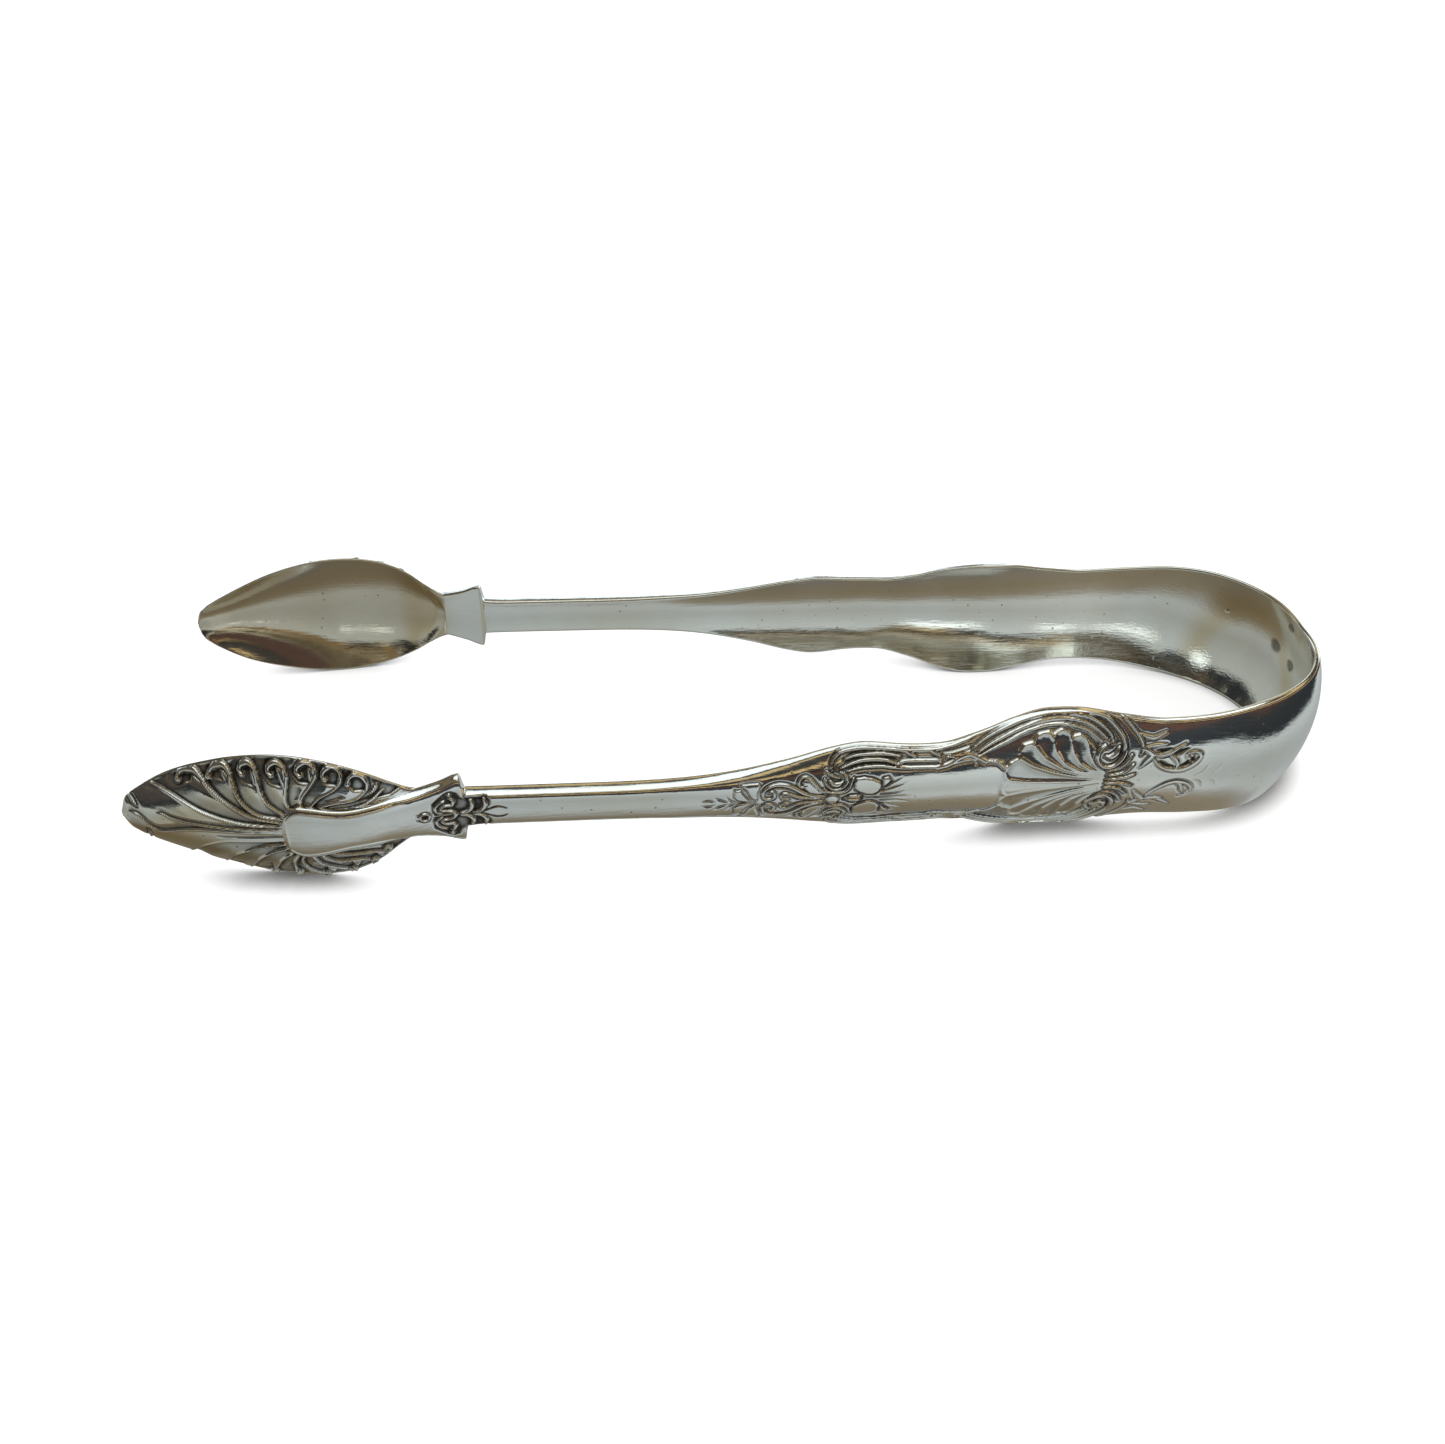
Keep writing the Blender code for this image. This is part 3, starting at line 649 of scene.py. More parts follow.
LEAF_ABOVE = [(20.5, 0.45), (16.5, 0.85), (14, 1.45), (11, 2.6), (8, 4.1), (6, 4.7), (3.4, 4.9)]
PETALS_BELOW = [
    [(20.5, -1.9), (14, -1.75), (12, -2.0), (10, -2.8), (8.4, -4.1), (7.4, -5.4), (6.8, -6.6)],
    [(20.5, -2.5), (17, -2.9), (15, -3.6), (13, -4.8), (12, -6.1), (11, -7.9)],
    [(20.5, -3.2), (18.2, -3.9), (16.5, -5.0), (15.3, -6.5), (14.4, -8.1), (13.8, -9.2)],
    [(20.8, -3.9), (19, -5.4), (18, -7.0), (17.2, -8.7), (16.9, -9.7)],
    [(21.2, -4.4), (20.3, -6.1), (20.0, -7.6), (20.1, -9.4)],
    [(21.8, -4.5), (21.2, -6.2), (21.6, -7.8), (22.6, -9.0), (23.6, -9.6)],
    [(22.6, -4.5), (23.4, -6.4), (25, -7.5), (26.5, -8.2), (27, -8.9)],
    [(23.6, -4.5), (25.4, -6.0), (28, -6.1), (29.4, -6.7), (29.8, -7.5)],
    [(25, -4.4), (27.5, -4.9), (30, -5.1), (31.6, -5.7)],
]


def bowl_relief():
    """Petals that fan out from the tongue, overlap outwards, and end in hooks along the rim."""
    relief = Relief(0, 36, 10.2)
    relief.shingle(LEAF_ABOVE, depth=0.42, width=2.4, crest=0.12, side=-1)
    for i, hook in enumerate(HOOKS):
        relief.shingle(hook[:6], depth=0.44 - 0.03 * i, width=2.4 - 0.16 * i, crest=0.12, side=-1)
    for i, crest in enumerate(PETALS_BELOW):
        relief.shingle(crest, depth=0.48, width=2.4 - 0.16 * i, crest=0.08, side=1)
    # The sunk ground between the hooks.
    rim = [
        (4.4, 5.3), (7, 6.9), (10, 8.2), (13, 9.2), (17, 9.85), (20, 10.05), (24, 9.8), (28, 8.6),
        (31, 7.0), (33, 5.2),
    ]
    for a, b in (
        ((6.0, 4.9), (10.0, 6.3)), ((10.6, 6.9), (14.2, 6.6)), ((14.6, 8.2), (17.6, 6.3)),
        ((17.9, 8.4), (20.9, 6.2)), ((21.2, 8.6), (24.2, 6.6)), ((24.8, 8.4), (27.2, 6.2)),
        ((27.6, 7.8), (30.2, 5.0)),
    ):
        edge = [(x, z) for x, z in rim if a[0] - 1 < x < b[0] + 1.5]
        relief.sink([a, ((a[0] + b[0]) / 2, min(a[1], b[1]) + 0.2), b, *edge[::-1]], 0.3)
    relief.sink([(23.4, 4.3), (25.2, 5.0), (26.8, 5.7), (28.3, 4.6), (26, 4.2)], 0.2)
    relief.sink([(21.6, 4.2), (21.8, 6.6), (23.2, 6.4), (22.6, 4.8)], 0.2)
    relief.sink(
        [(30.6, 7.0), (32.5, 5.6), (34.5, 4.4), (33, 3.6), (31, 3.6), (28.4, 3.6), (30.8, 4.6),
         (31.2, 5.8)], 0.3,
    )
    moat = dict(moat=0.36, moat_width=0.25)
    for hook in HOOKS:
        relief.stroke(hook[:5], [0.06, 0.1, 0.14, 0.18], [0.1, 0.16, 0.2, 0.26], moat=0.12, moat_width=0.16)
        relief.stroke(hook[4:], [0.2, 0.36, 0.4, 0.26, 0.22], [0.26, 0.36], **moat)
        relief.bead(hook[-1], 0.36, 0.36, moat=0.3)
    leaves = [(26.5, 3.0), (28.7, 2.95), (30.5, 3.4), (32.3, 4.6)], [(30.9, 4.5), (31.4, 5.0), (31.7, 5.7)]
    for leaf in leaves:
        relief.stroke(leaf, [0.08, 0.2, 0.08], 0.22, **moat)
    for crest in PETALS_BELOW[3:]:
        (x, z), radius = crest[-1], 0.6
        relief.stroke(spiral((x, z + 0.7), radius, 0.25, 250, 250, points=9), [0.2, 0.24, 0.2], 0.3, **moat)
    # The tip: two lobes that fold over each other.
    relief.shingle(
        [(20.5, -0.45), (14, -0.05), (11, 0.1), (8.5, -0.05), (6.6, -0.5), (5.2, -0.85), (4.2, -0.75),
         (3.4, -0.1), (2.9, 0.6), (2.2, 1.05), (0.9, 1.1)], depth=0.28, width=1.1, crest=0.1, side=-1,
    )
    relief.shingle(
        [(20.5, -0.1), (14, 0.35), (9, 0.9), (7, 1.25), (5.7, 1.8), (4.9, 1.95)], depth=0.32,
        width=0.9, crest=0.06, side=-1,
    )
    relief.stroke([(20.5, -1.1), (15, -0.95), (12, -0.9)], [0.12, 0.14, 0.06], -0.16)
    relief.stroke([(1.0, 3.1), (1.8, 2.7), (2.4, 2.2)], [0.1, 0.3, 0.1], 0.16, moat=0.25, moat_width=0.45)
    relief.stroke(
        [(3.3, -1.2), (3.2, -2.4), (2.7, -3.5)], [0.1, 0.24, 0.1], 0.14, moat=0.25, moat_width=0.4,
    )
    relief.stain(
        [(1.0, 3.0), (2.2, 4.1), (4.0, 4.7), (7.2, 4.0), (9.5, 2.2), (9.0, 1.4), (6.0, 2.0),
         (3.0, 2.2), (1.0, 1.8)], 0.3,
    )
    relief.stain(
        [(1.0, 0.8), (2.6, 0.8), (3.4, -0.4), (4.0, -1.6), (3.2, -3.0), (1.4, -2.4), (0.6, -0.8)], 0.3,
    )
    return relief.finish([(0, 0.45), (10, 0.55), (36, 0.65)])


# Meshes -------------------------------------------------------------------------------------

# Points across the outer and the inner face of each ring.
ARM_COUNTS, BOWL_COUNTS, BOW_COUNTS = (126, 20), (150, 44), (60, 90)


def heights_across(half, edge, middle):
    """Heights from -1 to 1, crowded within edge millimetres of the outline, which is rounded."""
    edge = min(edge, 0.9 * half)
    rounding = edge * (1 - np.cos(np.linspace(0, math.pi / 2, 6))) / half
    plain = np.linspace(-1 + edge / half, 1 - edge / half, middle)[1:-1]
    return np.concatenate([-1 + rounding, plain, 1 - rounding[::-1]])


def rounded(distance, radius):
    """How far a rounded edge has dropped at a distance in from the outline."""
    return radius - np.sqrt(np.maximum(radius**2 - np.clip(radius - distance, 0, None) ** 2, 0))


def ring_points(origin, normal, half, outer, inner, edge, relief, station, counts, end_distance=1e9):
    """One section: its points in millimetres, and for each its tarnish and whether it is inside.
    outer and inner give the depth below the plan line for heights from -1 to 1."""
    v_out = heights_across(half, edge, counts[0])
    v_in = heights_across(half, edge, counts[1])[::-1][1:-1]
    up = np.array((0, 0, 1.0))
    rows, tarnish = [], []
    for v, depth, sign in ((v_out, outer, 1), (v_in, inner, -1)):
        from_edge = np.minimum((1 - np.abs(v)) * half, end_distance)
        d = depth(v) + sign * rounded(from_edge, edge)
        slope = (depth(np.abs(v) + 0.01) - depth(np.abs(v) - 0.01)) / (0.02 * half) * np.sign(v)
        direction = normal + slope[:, None] * up
        direction /= np.linalg.norm(direction, axis=1, keepdims=True)
        points = origin - normal * d[:, None] + (v * half)[:, None] * up
        if relief is not None and sign == 1:
            s, z = np.full(len(v), station), v * half
            fade = smooth_step(from_edge / edge)
            points = points + direction * (relief.sample(relief.height, s, z) * fade)[:, None]
            tarnish.append(relief.sample(relief.tarnish, s, z) * fade)
        else:
            tarnish.append(np.zeros(len(v)))
        rows.append(points)
    inside = np.repeat([0.0, 1.0], [len(v_out), len(v_in)])
    return np.vstack(rows), np.stack([np.concatenate(tarnish), inside], axis=1)


def strip_outer(station):
    """Depth of the strip's outer face below the plan line, by height."""
    bevel = float(thickness(station)) - float(edge_thickness(station))
    return lambda v: float(camber(station)) * v * v + bevel * np.abs(v) ** float(bevel_power(station))


def strip_ring(station, relief=None, counts=ARM_COUNTS):
    """The strip: cambered where it is wide, flat with bevelled edges along the stem."""
    s = np.array([station])
    c, t, e = float(camber(station)), float(thickness(station)), float(edge_thickness(station))
    return ring_points(
        plan_points(s)[0], outward(s)[0], float(half_width(station)), strip_outer(station),
        lambda v: t + c * v * v, e / 2, relief, station, counts,
    )


def bowl_back(station):
    """How far out the bowl's back is: its own curve at the tip, and under the tongue further on."""
    tip, body = float(bowl_tip_back_y(station)), float(plan_y(station)) - TONGUE_T - GAP
    return tip + (body - tip) * float(smooth_step((station - 17) / 5))


def tongue_ring(station, relief):
    """The tongue: a thin leaf that lies on the bowl's back, with a round end and a raised line
    along its edge."""
    from_round = max(0.0, TONGUE_START + TONGUE_ROUND - station) / TONGUE_ROUND
    half = float(half_width(station)) * max(1 - from_round**2.2, 1e-4) ** (1 / 2.2)
    depth = bowl_back(station) - float(bowl_rim_y(station))
    wrap = depth * (half / float(bowl_half_width(station))) ** BOWL_FULLNESS
    s = np.array([station])
    in_bowl = TONGUE_T + GAP + 0.15
    end = station - TONGUE_START
    neck = float(smooth_step((station - NECK_BLEND) / (NECK_START - NECK_BLEND)))

    def outer(v):
        from_edge = np.minimum((1 - np.abs(v)) * half, end)
        line = TONGUE_LINE * np.exp(-(((from_edge - TONGUE_LINE_IN) / TONGUE_LINE_WIDTH) ** 2))
        tongue = wrap * np.abs(v) ** BOWL_FULLNESS + TONGUE_CROWN * v**4 - line
        return tongue * (1 - neck) + strip_outer(station)(v) * neck

    def inner(v):
        return in_bowl + wrap * np.abs(v) ** BOWL_FULLNESS

    return ring_points(
        plan_points(s)[0], outward(s)[0], half, outer, inner, TONGUE_EDGE, relief, station, ARM_COUNTS, end,
    )


def bowl_ring(x, relief):
    """The bowl: a thin shell, deepest at half height and running up to the rim at both edges."""
    half = float(bowl_half_width(x))
    back, depth = bowl_back(x), bowl_back(x) - float(bowl_rim_y(x))
    # The wall is thinner at the pointed tip, and where the bowl ends in the neck.
    wall = min(BOWL_T, 0.6 * half) - 0.12 * float(smooth_step((x - 35.6) / 0.5))
    thinned = HOLLOW * float(smooth_step((x - HOLLOW_START) / HOLLOW_RUN))

    def outer(v):
        return -(back - depth * np.abs(v) ** BOWL_FULLNESS)

    def inner(v):
        # The hollow runs out along an arc just before the neck.
        hollow = thinned * smooth_step((NECK_START - 2.4 * v * v - x) / 1.9) * (1 - v**4)
        return outer(v) + wall - hollow - BOWL_LIP * np.abs(v) ** 6

    edge = min(BOWL_EDGE, 0.4 * wall)
    origin, normal = np.array((x, 0, 0.0)), np.array((0, -1.0, 0))
    return ring_points(origin, normal, half, outer, inner, edge, relief, x, BOWL_COUNTS)


def even(start, end, pitch):
    return np.linspace(start, end, max(2, math.ceil((end - start) / pitch) + 1))


def ghost_ring(ghost, end, beside):
    """The ring past an end: a neighbour's, or else one that carries the piece straight on."""
    if ghost is None:
        return end + (end - beside) * 1e-3
    return ghost[0] + (-LENGTH / 2, 0, REST_HALF)


def loft(name, rings, material, before=None, after=None):
    """A closed mesh over rings of (points, marks), and its shading normals. before and after are
    ghost rings that only steer the shading where the piece meets its neighbour."""
    points = np.array([p for p, _ in rings])
    marks = np.concatenate([m for _, m in rings]).astype(np.float32)
    stations, around = points.shape[:2]
    points[..., 0] -= LENGTH / 2
    points[..., 2] += REST_HALF
    coords = (points * MM).reshape(-1, 3)
    column = np.arange(around)[None]
    i = np.arange(stations - 1)[:, None] * around + column
    j = np.arange(stations - 1)[:, None] * around + (column + 1) % around
    sides = np.stack([i, j, j + around, i + around], axis=-1).reshape(-1, 4)
    first, last = np.arange(around)[::-1], (stations - 1) * around + np.arange(around)
    mesh = bpy.data.meshes.new(name)
    mesh.from_pydata(coords.tolist(), [], [*sides.tolist(), first.tolist(), last.tolist()])

    start, end = ghost_ring(before, points[0], points[1]), ghost_ring(after, points[-1], points[-2])
    padded = np.stack([start, *points, end])
    across = np.roll(points, -1, axis=1) - np.roll(points, 1, axis=1)
    normals = np.cross(across, padded[2:] - padded[:-2]).reshape(-1, 3)
    sizes = np.linalg.norm(normals, axis=1, keepdims=True)
    normals = np.where(sizes > 1e-12, normals / np.maximum(sizes, 1e-12), 0)
    for mark, values in zip(("tarnish", "inside"), marks.T):
        mesh.attributes.new(mark, "FLOAT", "POINT").data.foreach_set("value", values.copy())
    rest = mesh.attributes.new("rest", "FLOAT_VECTOR", "POINT")
    rest.data.foreach_set("vector", coords.astype(np.float32).ravel())
    mesh.materials.append(material)
    mesh.shade_smooth()
    return mesh, normals


def settle_normals(mesh, normals):
    """Sets the shading normals. A cap keeps its own flat ones."""
    loops = np.empty(len(mesh.loops), int)
    mesh.loops.foreach_get("vertex_index", loops)
    per_loop = normals[loops]
    for face in mesh.polygons[-2:]:
        per_loop[face.loop_start : face.loop_start + face.loop_total] = face.normal
    mesh.normals_split_custom_set(per_loop.tolist())


def placed(name, data):
    obj = bpy.data.objects.new(name, data)
    bpy.context.scene.collection.objects.link(obj)
    return obj


def piece(name, rings, material, **ghosts):
    """A lofted object with its faces and its shading normals pointing out."""
    mesh, normals = loft(name, rings, material, **ghosts)
    if sum(face.normal.dot(face.center) * face.area for face in mesh.polygons) < 0:
        mesh.flip_normals()
    agreement = sum(face.normal.dot(Vector(normals[face.vertices[0]])) for face in mesh.polygons)
    settle_normals(mesh, normals * math.copysign(1, agreement))
    return placed(name, mesh)


def turned_copy(obj, name):
    """The same piece for the far side, turned half a turn about the tongs' long axis."""
    mesh = obj.data.copy()
    mesh.name = name
    middle = Matrix.Translation((0, 0, REST_HALF * MM))
    mesh.transform(middle @ Matrix.Rotation(math.pi, 4, "X") @ middle.inverted())
    return placed(name, mesh)


def punch(obj, place, radius, depth=0.07):
    """Sinks a small blank mark into an inner face, and lets tarnish gather in it. The place is in
    millimetres in the frame's axes."""
    mesh, count = obj.data, len(obj.data.vertices)
    coords, normals = np.empty(3 * count), np.empty(3 * count)
    tarnish, inside = np.empty(count), np.empty(count)
    mesh.vertices.foreach_get("co", coords)
    mesh.vertices.foreach_get("normal", normals)
    mesh.attributes["tarnish"].data.foreach_get("value", tarnish)
    mesh.attributes["inside"].data.foreach_get("value", inside)
    distance = np.linalg.norm(coords.reshape(-1, 3) / MM - place, axis=1) / radius
    sunk = smooth_step((1 - distance) / 0.4) * inside
    coords -= (normals.reshape(-1, 3) * (sunk * depth * MM)[:, None]).ravel()
    tarnish = np.maximum(tarnish, 0.65 * sunk)
    mesh.vertices.foreach_set("co", coords)
    mesh.attributes["tarnish"].data.foreach_set("value", tarnish)
    mesh.update()


# Shader nodes -------------------------------------------------------------------------------


def node(tree, kind, inputs=(), **settings):
    """Adds a node. Each of its inputs gets a value, or the socket that feeds it."""
    made = tree.nodes.new(kind)
    for key, value in settings.items():
        setattr(made, key, value)
    for key, value in dict(inputs).items():
        if isinstance(value, bpy.types.NodeSocket):
            tree.links.new(value, made.inputs[key])
        else:
            made.inputs[key].default_value = value
    return made


def noise(tree, place, scale, detail, roughness=0.5):
    values = {"Vector": place, "Scale": scale, "Detail": detail, "Roughness": roughness}
    return node(tree, "ShaderNodeTexNoise", values).outputs["Fac"]


def ranged(tree, value, start, end, low=0.0, high=1.0, shape="LINEAR"):
    """A value moved from one range to another, and held at the ends."""
    values = {"Value": value, "From Min": start, "From Max": end, "To Min": low, "To Max": high}
    return node(tree, "ShaderNodeMapRange", values, interpolation_type=shape).outputs["Result"]


def calculated(tree, operation, *values, use_clamp=False):
    settings = {"operation": operation, "use_clamp": use_clamp}
    return node(tree, "ShaderNodeMath", dict(enumerate(values)), **settings).outputs["Value"]


def product(tree, first, *others):
    for other in others:
        first = calculated(tree, "MULTIPLY", first, other)
    return first


def mixed(tree, factor, a, b, blend_type="MIX"):
    """Two colours mixed, or the first one multiplied by the second."""
    values, settings = {"Factor": factor, "A": a, "B": b}, {"data_type": "RGBA", "blend_type": blend_type}
    return node(tree, "ShaderNodeMix", values, **settings).outputs["Result"]


def color_ramp(tree, value, low, high, colors):
    """The colour at a value, from colours that are given at values from low to high."""
    ramp = node(tree, "ShaderNodeValToRGB", {"Fac": ranged(tree, value, low, high)})
    stops = ramp.color_ramp.elements
    for _ in colors[2:]:
        stops.new(0.5)
    for stop, (at, color) in zip(stops, colors):
        stop.position = (at - low) / (high - low)
        stop.color = (*color, 1)
    return ramp.outputs["Color"]


# Silver -------------------------------------------------------------------------------------

SILVER, FILM, TARNISH = (0.86, 0.865, 0.85, 1), (0.80, 0.78, 0.71, 1), (0.055, 0.05, 0.043, 1)
INNER, GILT = (0.97, 0.96, 0.93, 1), (0.79, 0.72, 0.61, 1)


def silver(name, inner, roughness, grain):
    """Old sterling: a warm film in broad patches, a fine grain of wiping marks, small pits, dark
    tarnish wherever the mesh says that it gathers, and a tint of its own inside."""
    material = bpy.data.materials.new(name)
    material.use_nodes = True
    tree = material.node_tree
    place = node(tree, "ShaderNodeAttribute", attribute_name="rest").outputs["Vector"]
    hollow = node(tree, "ShaderNodeAttribute", attribute_name="tarnish").outputs["Fac"]
    inside = node(tree, "ShaderNodeAttribute", attribute_name="inside").outputs["Fac"]
    patches = noise(tree, place, scale=70, detail=6, roughness=0.6)
    grains = noise(tree, place, scale=1100, detail=5, roughness=0.7)
    stretched = {"Vector": place, "Scale": (260, 2600, 2600), "Rotation": (0.2, 0.5, 0.3)}
    wiping = node(tree, "ShaderNodeMapping", stretched)
    marks = noise(tree, wiping.outputs["Vector"], scale=1, detail=3)

    # Pits, only where the patches are thick.
    specks = node(tree, "ShaderNodeTexVoronoi", {"Vector": place, "Scale": 620}).outputs["Distance"]
    pits = product(tree, ranged(tree, specks, 0.05, 0.13, 1, 0), ranged(tree, patches, 0.49, 0.58))
    # Tarnish, broken up a little by the grain.
    uneven = ranged(tree, grains, 0, 1, 0.75, 1.3)
    dark = calculated(tree, "MULTIPLY", hollow, uneven, use_clamp=True)
    dull = calculated(tree, "MULTIPLY_ADD", pits, 0.5, dark, use_clamp=True)
    filmed = mixed(tree, ranged(tree, patches, 0.36, 0.66), SILVER, FILM)
    color = mixed(tree, dull, mixed(tree, inside, filmed, inner, "MULTIPLY"), TARNISH)

    smooth = ranged(tree, marks, 0.3, 0.7, roughness - 0.03, roughness + 0.06)
    worn = calculated(tree, "MULTIPLY_ADD", pits, -1.5, calculated(tree, "ADD", grains, marks))
    bump = node(tree, "ShaderNodeBump", {"Strength": grain, "Distance": 0.00004, "Height": worn})
    shader = tree.nodes["Principled BSDF"].inputs
    shader["Metallic"].default_value = 1.0
    tree.links.new(color, shader["Base Color"])
    tree.links.new(calculated(tree, "MULTIPLY_ADD", dull, 0.3, smooth), shader["Roughness"])
    tree.links.new(bump.outputs["Normal"], shader["Normal"])
    return material


struck = silver("struck_silver_finish", INNER, roughness=0.07, grain=0.3)
polished = silver("polished_silver_finish", INNER, roughness=0.06, grain=0.25)
bowl_finish = silver("bowl_silver_finish", GILT, roughness=0.08, grain=0.3)


# Pieces -------------------------------------------------------------------------------------

arm_ornament = arm_relief()
bowl_ornament = bowl_relief()

# Rings lie close together where there is relief.
FINE, PLAIN, TONGUE_PITCH, BOW_PITCH = 0.185, 0.55, 0.32, 0.25
round_end = TONGUE_START + TONGUE_ROUND * (1 - np.cos(np.linspace(0.12, math.pi / 2, 20)))
tongue = [*round_end, *even(22.9, 35.7, TONGUE_PITCH)]
stem = [
    *even(NECK_START, 47.2, FINE), *even(47.7, 70.4, PLAIN), *even(70.8, 141, FINE),
    *even(141.5, SEAM, PLAIN),
]
arm_rings = [tongue_ring(s, arm_ornament) for s in tongue] + [strip_ring(s, arm_ornament) for s in stem]
near_arm = piece("near_arm_silver", arm_rings, struck, after=strip_ring(SEAM + PLAIN))

bowl_x = [*(6 * (1 - np.cos(np.linspace(0, math.pi / 2, 44)))), *even(6.2, BOWL_END, FINE)]
near_bowl = piece("near_bowl_silver", [bowl_ring(x, bowl_ornament) for x in bowl_x], bowl_finish)

bow_s = even(SEAM, CROWN, BOW_PITCH)
crown_ghost = strip_ring(bow_s[-2], counts=BOW_COUNTS)
crown_ghost[0][:, 1] *= -1
near_bow = piece(
    "bow_near_half", [strip_ring(s, counts=BOW_COUNTS) for s in bow_s], polished,
    before=strip_ring(SEAM - 0.4, counts=BOW_COUNTS), after=crown_ghost,
)

# Three blank worn marks and a pit inside the bend, as (place, radius).
MARKS = [
    ((78.6, 5.6, 11.9), 1.2), ((79.3, 1.8, 11.0), 1.0), ((78.1, 2.7, 17.1), 0.9),
    ((73.6, 12.9, 13.4), 0.4),
]
seam_y = min(abs(p[1]) for p in strip_ring(SEAM, counts=BOW_COUNTS)[0]) * MM
for side, sign in (("near", -1), ("far", 1)):
    arm = near_arm if side == "near" else turned_copy(near_arm, "far_arm_silver")
    bowl = near_bowl if side == "near" else turned_copy(near_bowl, "far_bowl_silver")
    half_bow = near_bow if side == "near" else turned_copy(near_bow, "bow_far_half")
    for obj, part, slot in ((arm, f"{side}_arm", "struck_silver"), (bowl, f"{side}_bowl", "bowl_silver")):
        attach(obj, f"{side}_arm")
        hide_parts(part)
    for place, radius in MARKS if side == "far" else []:
        punch(half_bow, place, radius)
    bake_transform(half_bow)
    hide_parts("bow")


# Studio -------------------------------------------------------------------------------------


def sheet(name, corners):
    """A flat stage piece with one face, and its material's nodes."""
    mesh = bpy.data.meshes.new(name)
    mesh.from_pydata(corners, [], [range(len(corners))])
    material = bpy.data.materials.new(name)
    material.use_nodes = True
    mesh.materials.append(material)
    obj = placed(name, mesh)
    return obj, material.node_tree


def floor():
    """A plain pale floor. Gloss passes it, and meets the studio's lower half instead."""
    reach = 1.5
    corners = [(-reach, -reach, 0), (reach, -reach, 0), (reach, reach, 0), (-reach, reach, 0)]
    obj, tree = sheet("floor", corners)
    obj.visible_glossy = False
    shader = tree.nodes["Principled BSDF"].inputs
    shader["Base Color"].default_value = (0.4, 0.4, 0.4, 1)
    shader["Roughness"].default_value = 1.0
    shader["Specular IOR Level"].default_value = 0.0
    shader["Emission Color"].default_value = (1, 1, 1, 1)
    # The paper glows white through its emission, and ambient occlusion dims that emission to paint a narrow
    # shadow where the silver rests on it.
    open_sky = node(tree, "ShaderNodeAmbientOcclusion", {"Distance": 0.005}, samples=12)
    glow = ranged(tree, open_sky.outputs["AO"], 0.4, 0.8, 0, 0.75)
    tree.links.new(glow, shader["Emission Strength"])


def painted_reflection_card(name, y, start, end, low, high, color):
    """A slim glowing card with pointed ends that only the far side's inner faces mirror: a painted glint in
    them, or painted shade where its colour is dark. It runs along X from start to end, and in Z from low to
    high."""
    middle, taper = (low + high) / 2, 0.3 * (end - start)
    outline = [
        (start, middle), (start + taper, high), (end - taper, high), (end, middle),
        (end - taper, low), (start + taper, low),
    ]
    obj, tree = sheet(name, [(x, y, z) for x, z in outline])
    obj.visible_camera = obj.visible_diffuse = obj.visible_shadow = False
    # Clear from behind, where the near arm would mirror it.
    behind = node(tree, "ShaderNodeNewGeometry").outputs["Backfacing"]
    lit = node(tree, "ShaderNodeEmission", {"Color": (*color, 1)}).outputs["Emission"]
    clear = node(tree, "ShaderNodeBsdfTransparent").outputs["BSDF"]
    card = node(tree, "ShaderNodeMixShader", {"Fac": behind, 1: lit, 2: clear})
    tree.links.new(card.outputs["Shader"], tree.nodes["Material Output"].inputs["Surface"])


# What the silver mirrors, by the elevation in degrees across the tongs.
MIRRORED = [
    (-90, (0.62, 0.66, 0.67)), (-87, (0.40, 0.42, 0.42)), (-84, (0.16, 0.155, 0.14)),
    (-79, (0.20, 0.178, 0.14)), (-64, (0.215, 0.185, 0.13)), (-56, (0.25, 0.22, 0.165)),
    (-50, (0.32, 0.315, 0.285)), (-44, (0.47, 0.505, 0.505)), (-38, (0.45, 0.485, 0.485)),
    (-32, (0.41, 0.44, 0.435)), (-24, (0.46, 0.50, 0.50)), (-7, (0.58, 0.64, 0.65)),
    (-5, (0.03, 0.035, 0.04)), (9, (0.04, 0.045, 0.05)), (14, (0.13, 0.065, 0.045)),
    (20, (0.03, 0.028, 0.025)), (25, (0.03, 0.028, 0.025)), (26, (0.8, 0.6, 0.32)),
    (31, (0.62, 0.46, 0.22)), (32, (0.04, 0.04, 0.035)), (46, (0.06, 0.06, 0.06)),
    (49, (0.72, 0.56, 0.30)), (60, (0.60, 0.46, 0.24)), (62, (0.08, 0.08, 0.08)),
    (70, (0.10, 0.10, 0.10)), (72, (1.2, 1.3, 1.32)), (90, (1.3, 1.4, 1.4)),
]
# The same along the tongs, as a tint by the reflection's x.
TINTED = [
    (-1.0, (0.75, 0.72, 0.66)), (-0.74, (0.80, 0.78, 0.72)), (-0.66, (0.75, 0.67, 0.52)),
    (-0.58, (0.75, 0.68, 0.53)), (-0.36, (0.88, 0.88, 0.87)), (-0.1, (0.94, 0.96, 0.97)),
    (0.2, (1.0, 1.0, 1.0)), (0.45, (1.2, 1.2, 1.2)), (0.6, (1.0, 1.0, 1.0)),
    (1.0, (0.92, 0.92, 0.92)),
]


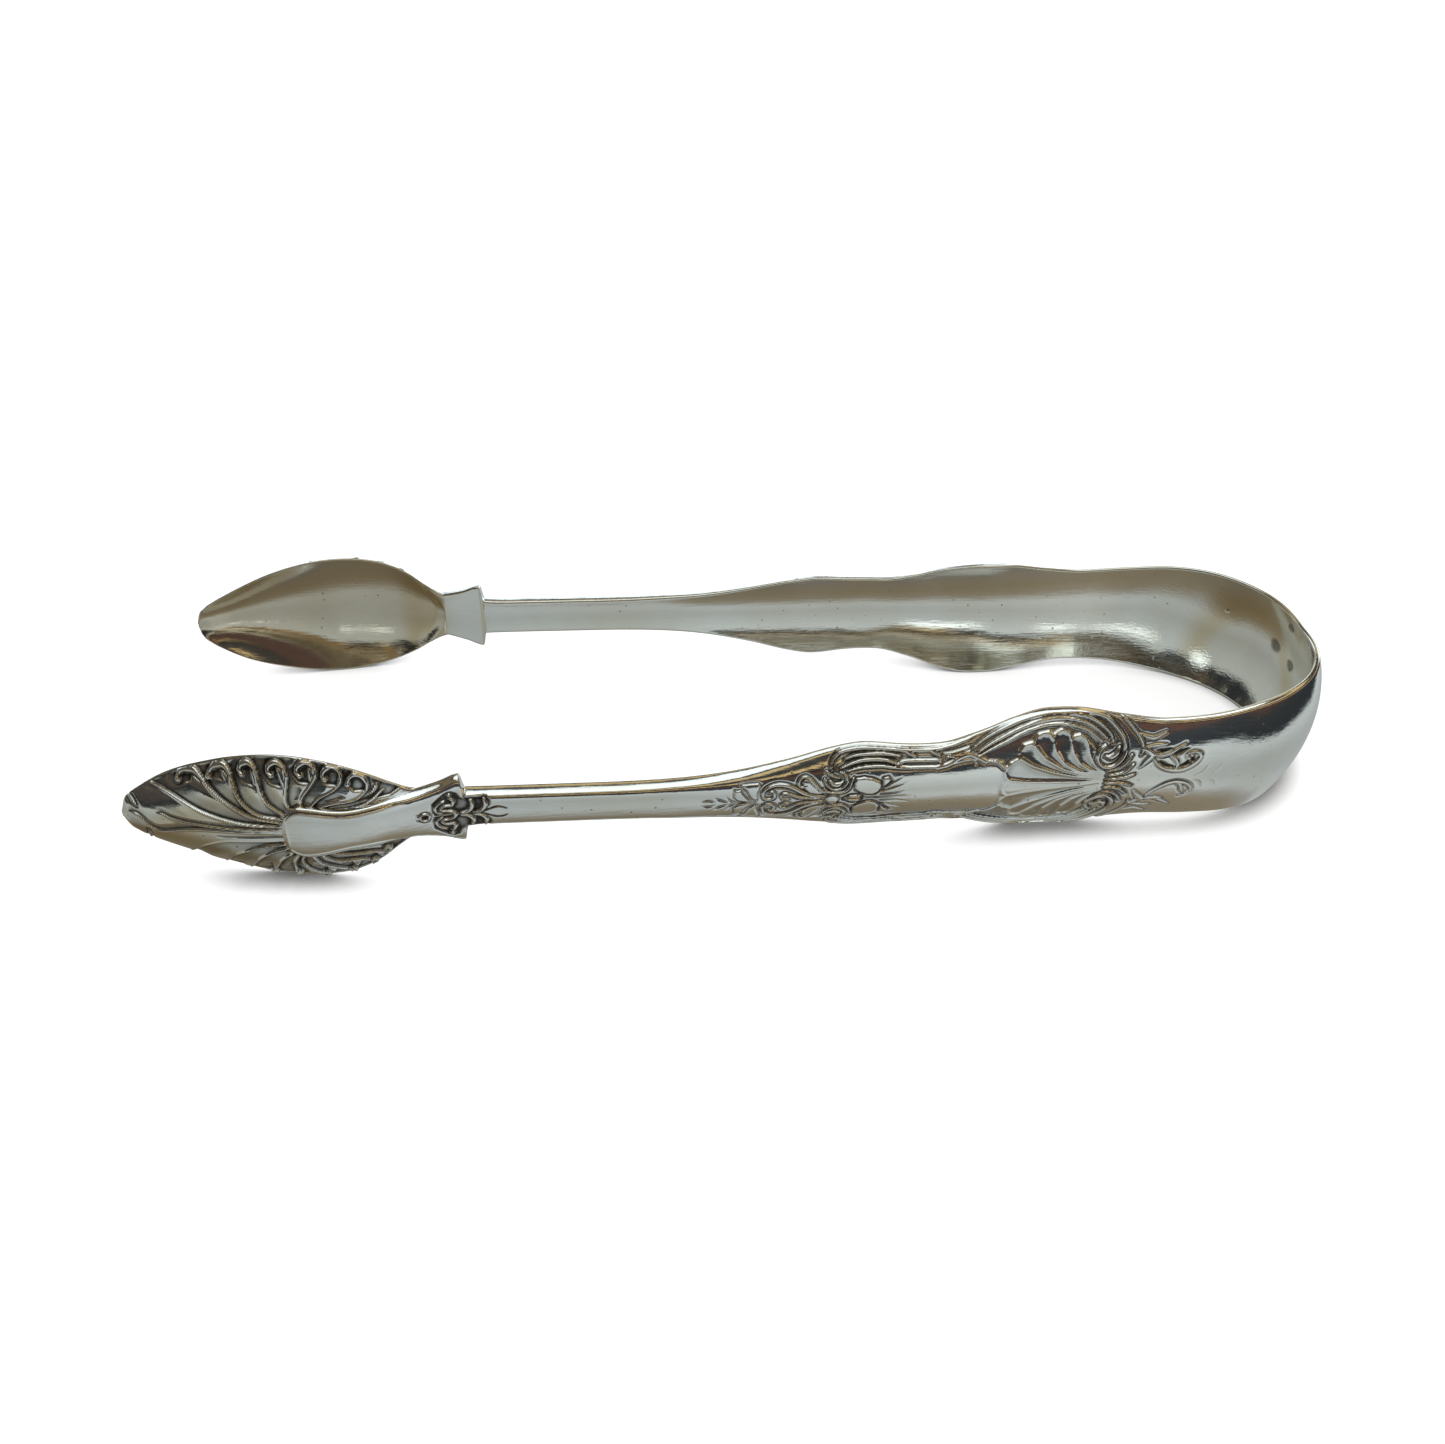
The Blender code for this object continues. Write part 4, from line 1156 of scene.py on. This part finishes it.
def studio():
    """An even white dome, which gloss sees as a room: a bench below, a dark wall, windows above."""
    world = bpy.data.worlds.new("studio")
    bpy.context.scene.world = world
    world.use_nodes = True
    tree = world.node_tree

    def step(value, start, end, size=1.0):
        return ranged(tree, value, start, end, 0, size, "SMOOTHSTEP")

    def total(*values):
        first, *others = values
        for other in others:
            first = calculated(tree, "ADD", first, other)
        return first

    direction = node(tree, "ShaderNodeTexCoord").outputs["Generated"]
    x, y, z = node(tree, "ShaderNodeSeparateXYZ", {"Vector": direction}).outputs
    clutter = noise(tree, direction, scale=2.5, detail=2)
    # The elevation, all but blind to how far along the tongs a reflection leans.
    lean = calculated(tree, "POWER", calculated(tree, "ABSOLUTE", x), 4.0)
    level_run = calculated(tree, "SQRT", total(product(tree, y, y), lean))
    elevation = calculated(tree, "DEGREES", calculated(tree, "ARCTAN2", z, level_run))
    broken = calculated(tree, "MULTIPLY_ADD", clutter, 10.0, -5.0)
    # Towards the bow's end the bench starts further down.
    bench = product(tree, step(x, 0.2, 0.6, 12.0), step(elevation, -30, -44), step(elevation, -86, -78))
    # Round the bow the dark wall above it comes down a little.
    wall = product(tree, step(x, 0.5, 0.9, 16.0), step(elevation, -40, -24))
    by_height = color_ramp(tree, total(elevation, broken, bench, wall), -90, 90, MIRRORED)
    wavering = total(x, calculated(tree, "MULTIPLY_ADD", clutter, 0.1, -0.05))
    room = mixed(tree, 1, by_height, color_ramp(tree, wavering, -1, 1, TINTED), "MULTIPLY")
    # Past the bowls' tips a dark curtain hangs over the wall.
    curtain = product(tree, step(x, -0.18, -0.34, 0.8), step(elevation, 5, 11), step(elevation, 66, 56))
    room = mixed(tree, curtain, room, (0.07, 0.062, 0.055, 1))
    # A window low behind the tongs, which only a second reflection finds.
    low_down = product(tree, step(elevation, -26, -20), step(elevation, 30, 20))
    window = product(tree, step(y, 0.45, 0.6), low_down, step(clutter, 0.45, 0.52))
    room = mixed(tree, window, room, (1.4, 1.6, 1.66, 1))

    plain = tree.nodes["Background"]
    plain.inputs["Color"].default_value = (1, 1, 1, 1)
    plain.inputs["Strength"].default_value = 1.15
    mirrored = node(tree, "ShaderNodeBackground", {"Color": room}).outputs["Background"]
    glossy = node(tree, "ShaderNodeLightPath").outputs["Is Glossy Ray"]
    either = node(tree, "ShaderNodeMixShader", {"Fac": glossy, 1: plain.outputs["Background"], 2: mirrored})
    tree.links.new(either.outputs["Shader"], tree.nodes["World Output"].inputs["Surface"])
    bpy.context.scene.view_settings.view_transform = "Standard"


def camera(azimuth, elevation, roll, place):
    """A view from over the near arm, rolled a little. The angles are degrees."""
    azimuth, elevation, roll = map(math.radians, (azimuth, elevation, roll))
    level = math.cos(elevation)
    back = Vector((math.sin(azimuth) * level, -math.cos(azimuth) * level, math.sin(elevation)))
    right = Vector((0, 0, 1)).cross(back).normalized()
    up = back.cross(right)
    turned_right = right * math.cos(roll) + up * math.sin(roll)
    turned_up = up * math.cos(roll) - right * math.sin(roll)
    data = bpy.data.cameras.new("view")
    data.lens = 32.19
    data.sensor_width = 36
    data.clip_start = 0.01
    obj = placed("view", data)
    axes = Matrix((turned_right, turned_up, back)).transposed().to_4x4()
    obj.matrix_world = Matrix.Translation(place) @ axes
    bpy.context.scene.camera = obj


floor()
studio()
# Three glowing cards under the floor between the arms paint glints into the far side's inner faces, and a
# dark one over the near bowl paints shade into what the far bowl mirrors.
BETWEEN, LIT = -0.0185, (1.35, 1.5, 1.5)
painted_reflection_card("bowl_glint", BETWEEN, -0.068, -0.059, -0.0084, -0.0066, LIT)
painted_reflection_card("arm_glint", BETWEEN, 0.0306, 0.048, -0.0034, -0.0003, LIT)
painted_reflection_card("bend_glint", BETWEEN, 0.0575, 0.070, -0.0040, -0.0022, LIT)
painted_reflection_card("bowl_shade", -0.015, -0.074, -0.040, 0.0135, 0.029, (0.10, 0.065, 0.055))
camera(azimuth=-6.65, elevation=38.33, roll=2.48, place=(-0.02119, -0.14401, 0.11958))
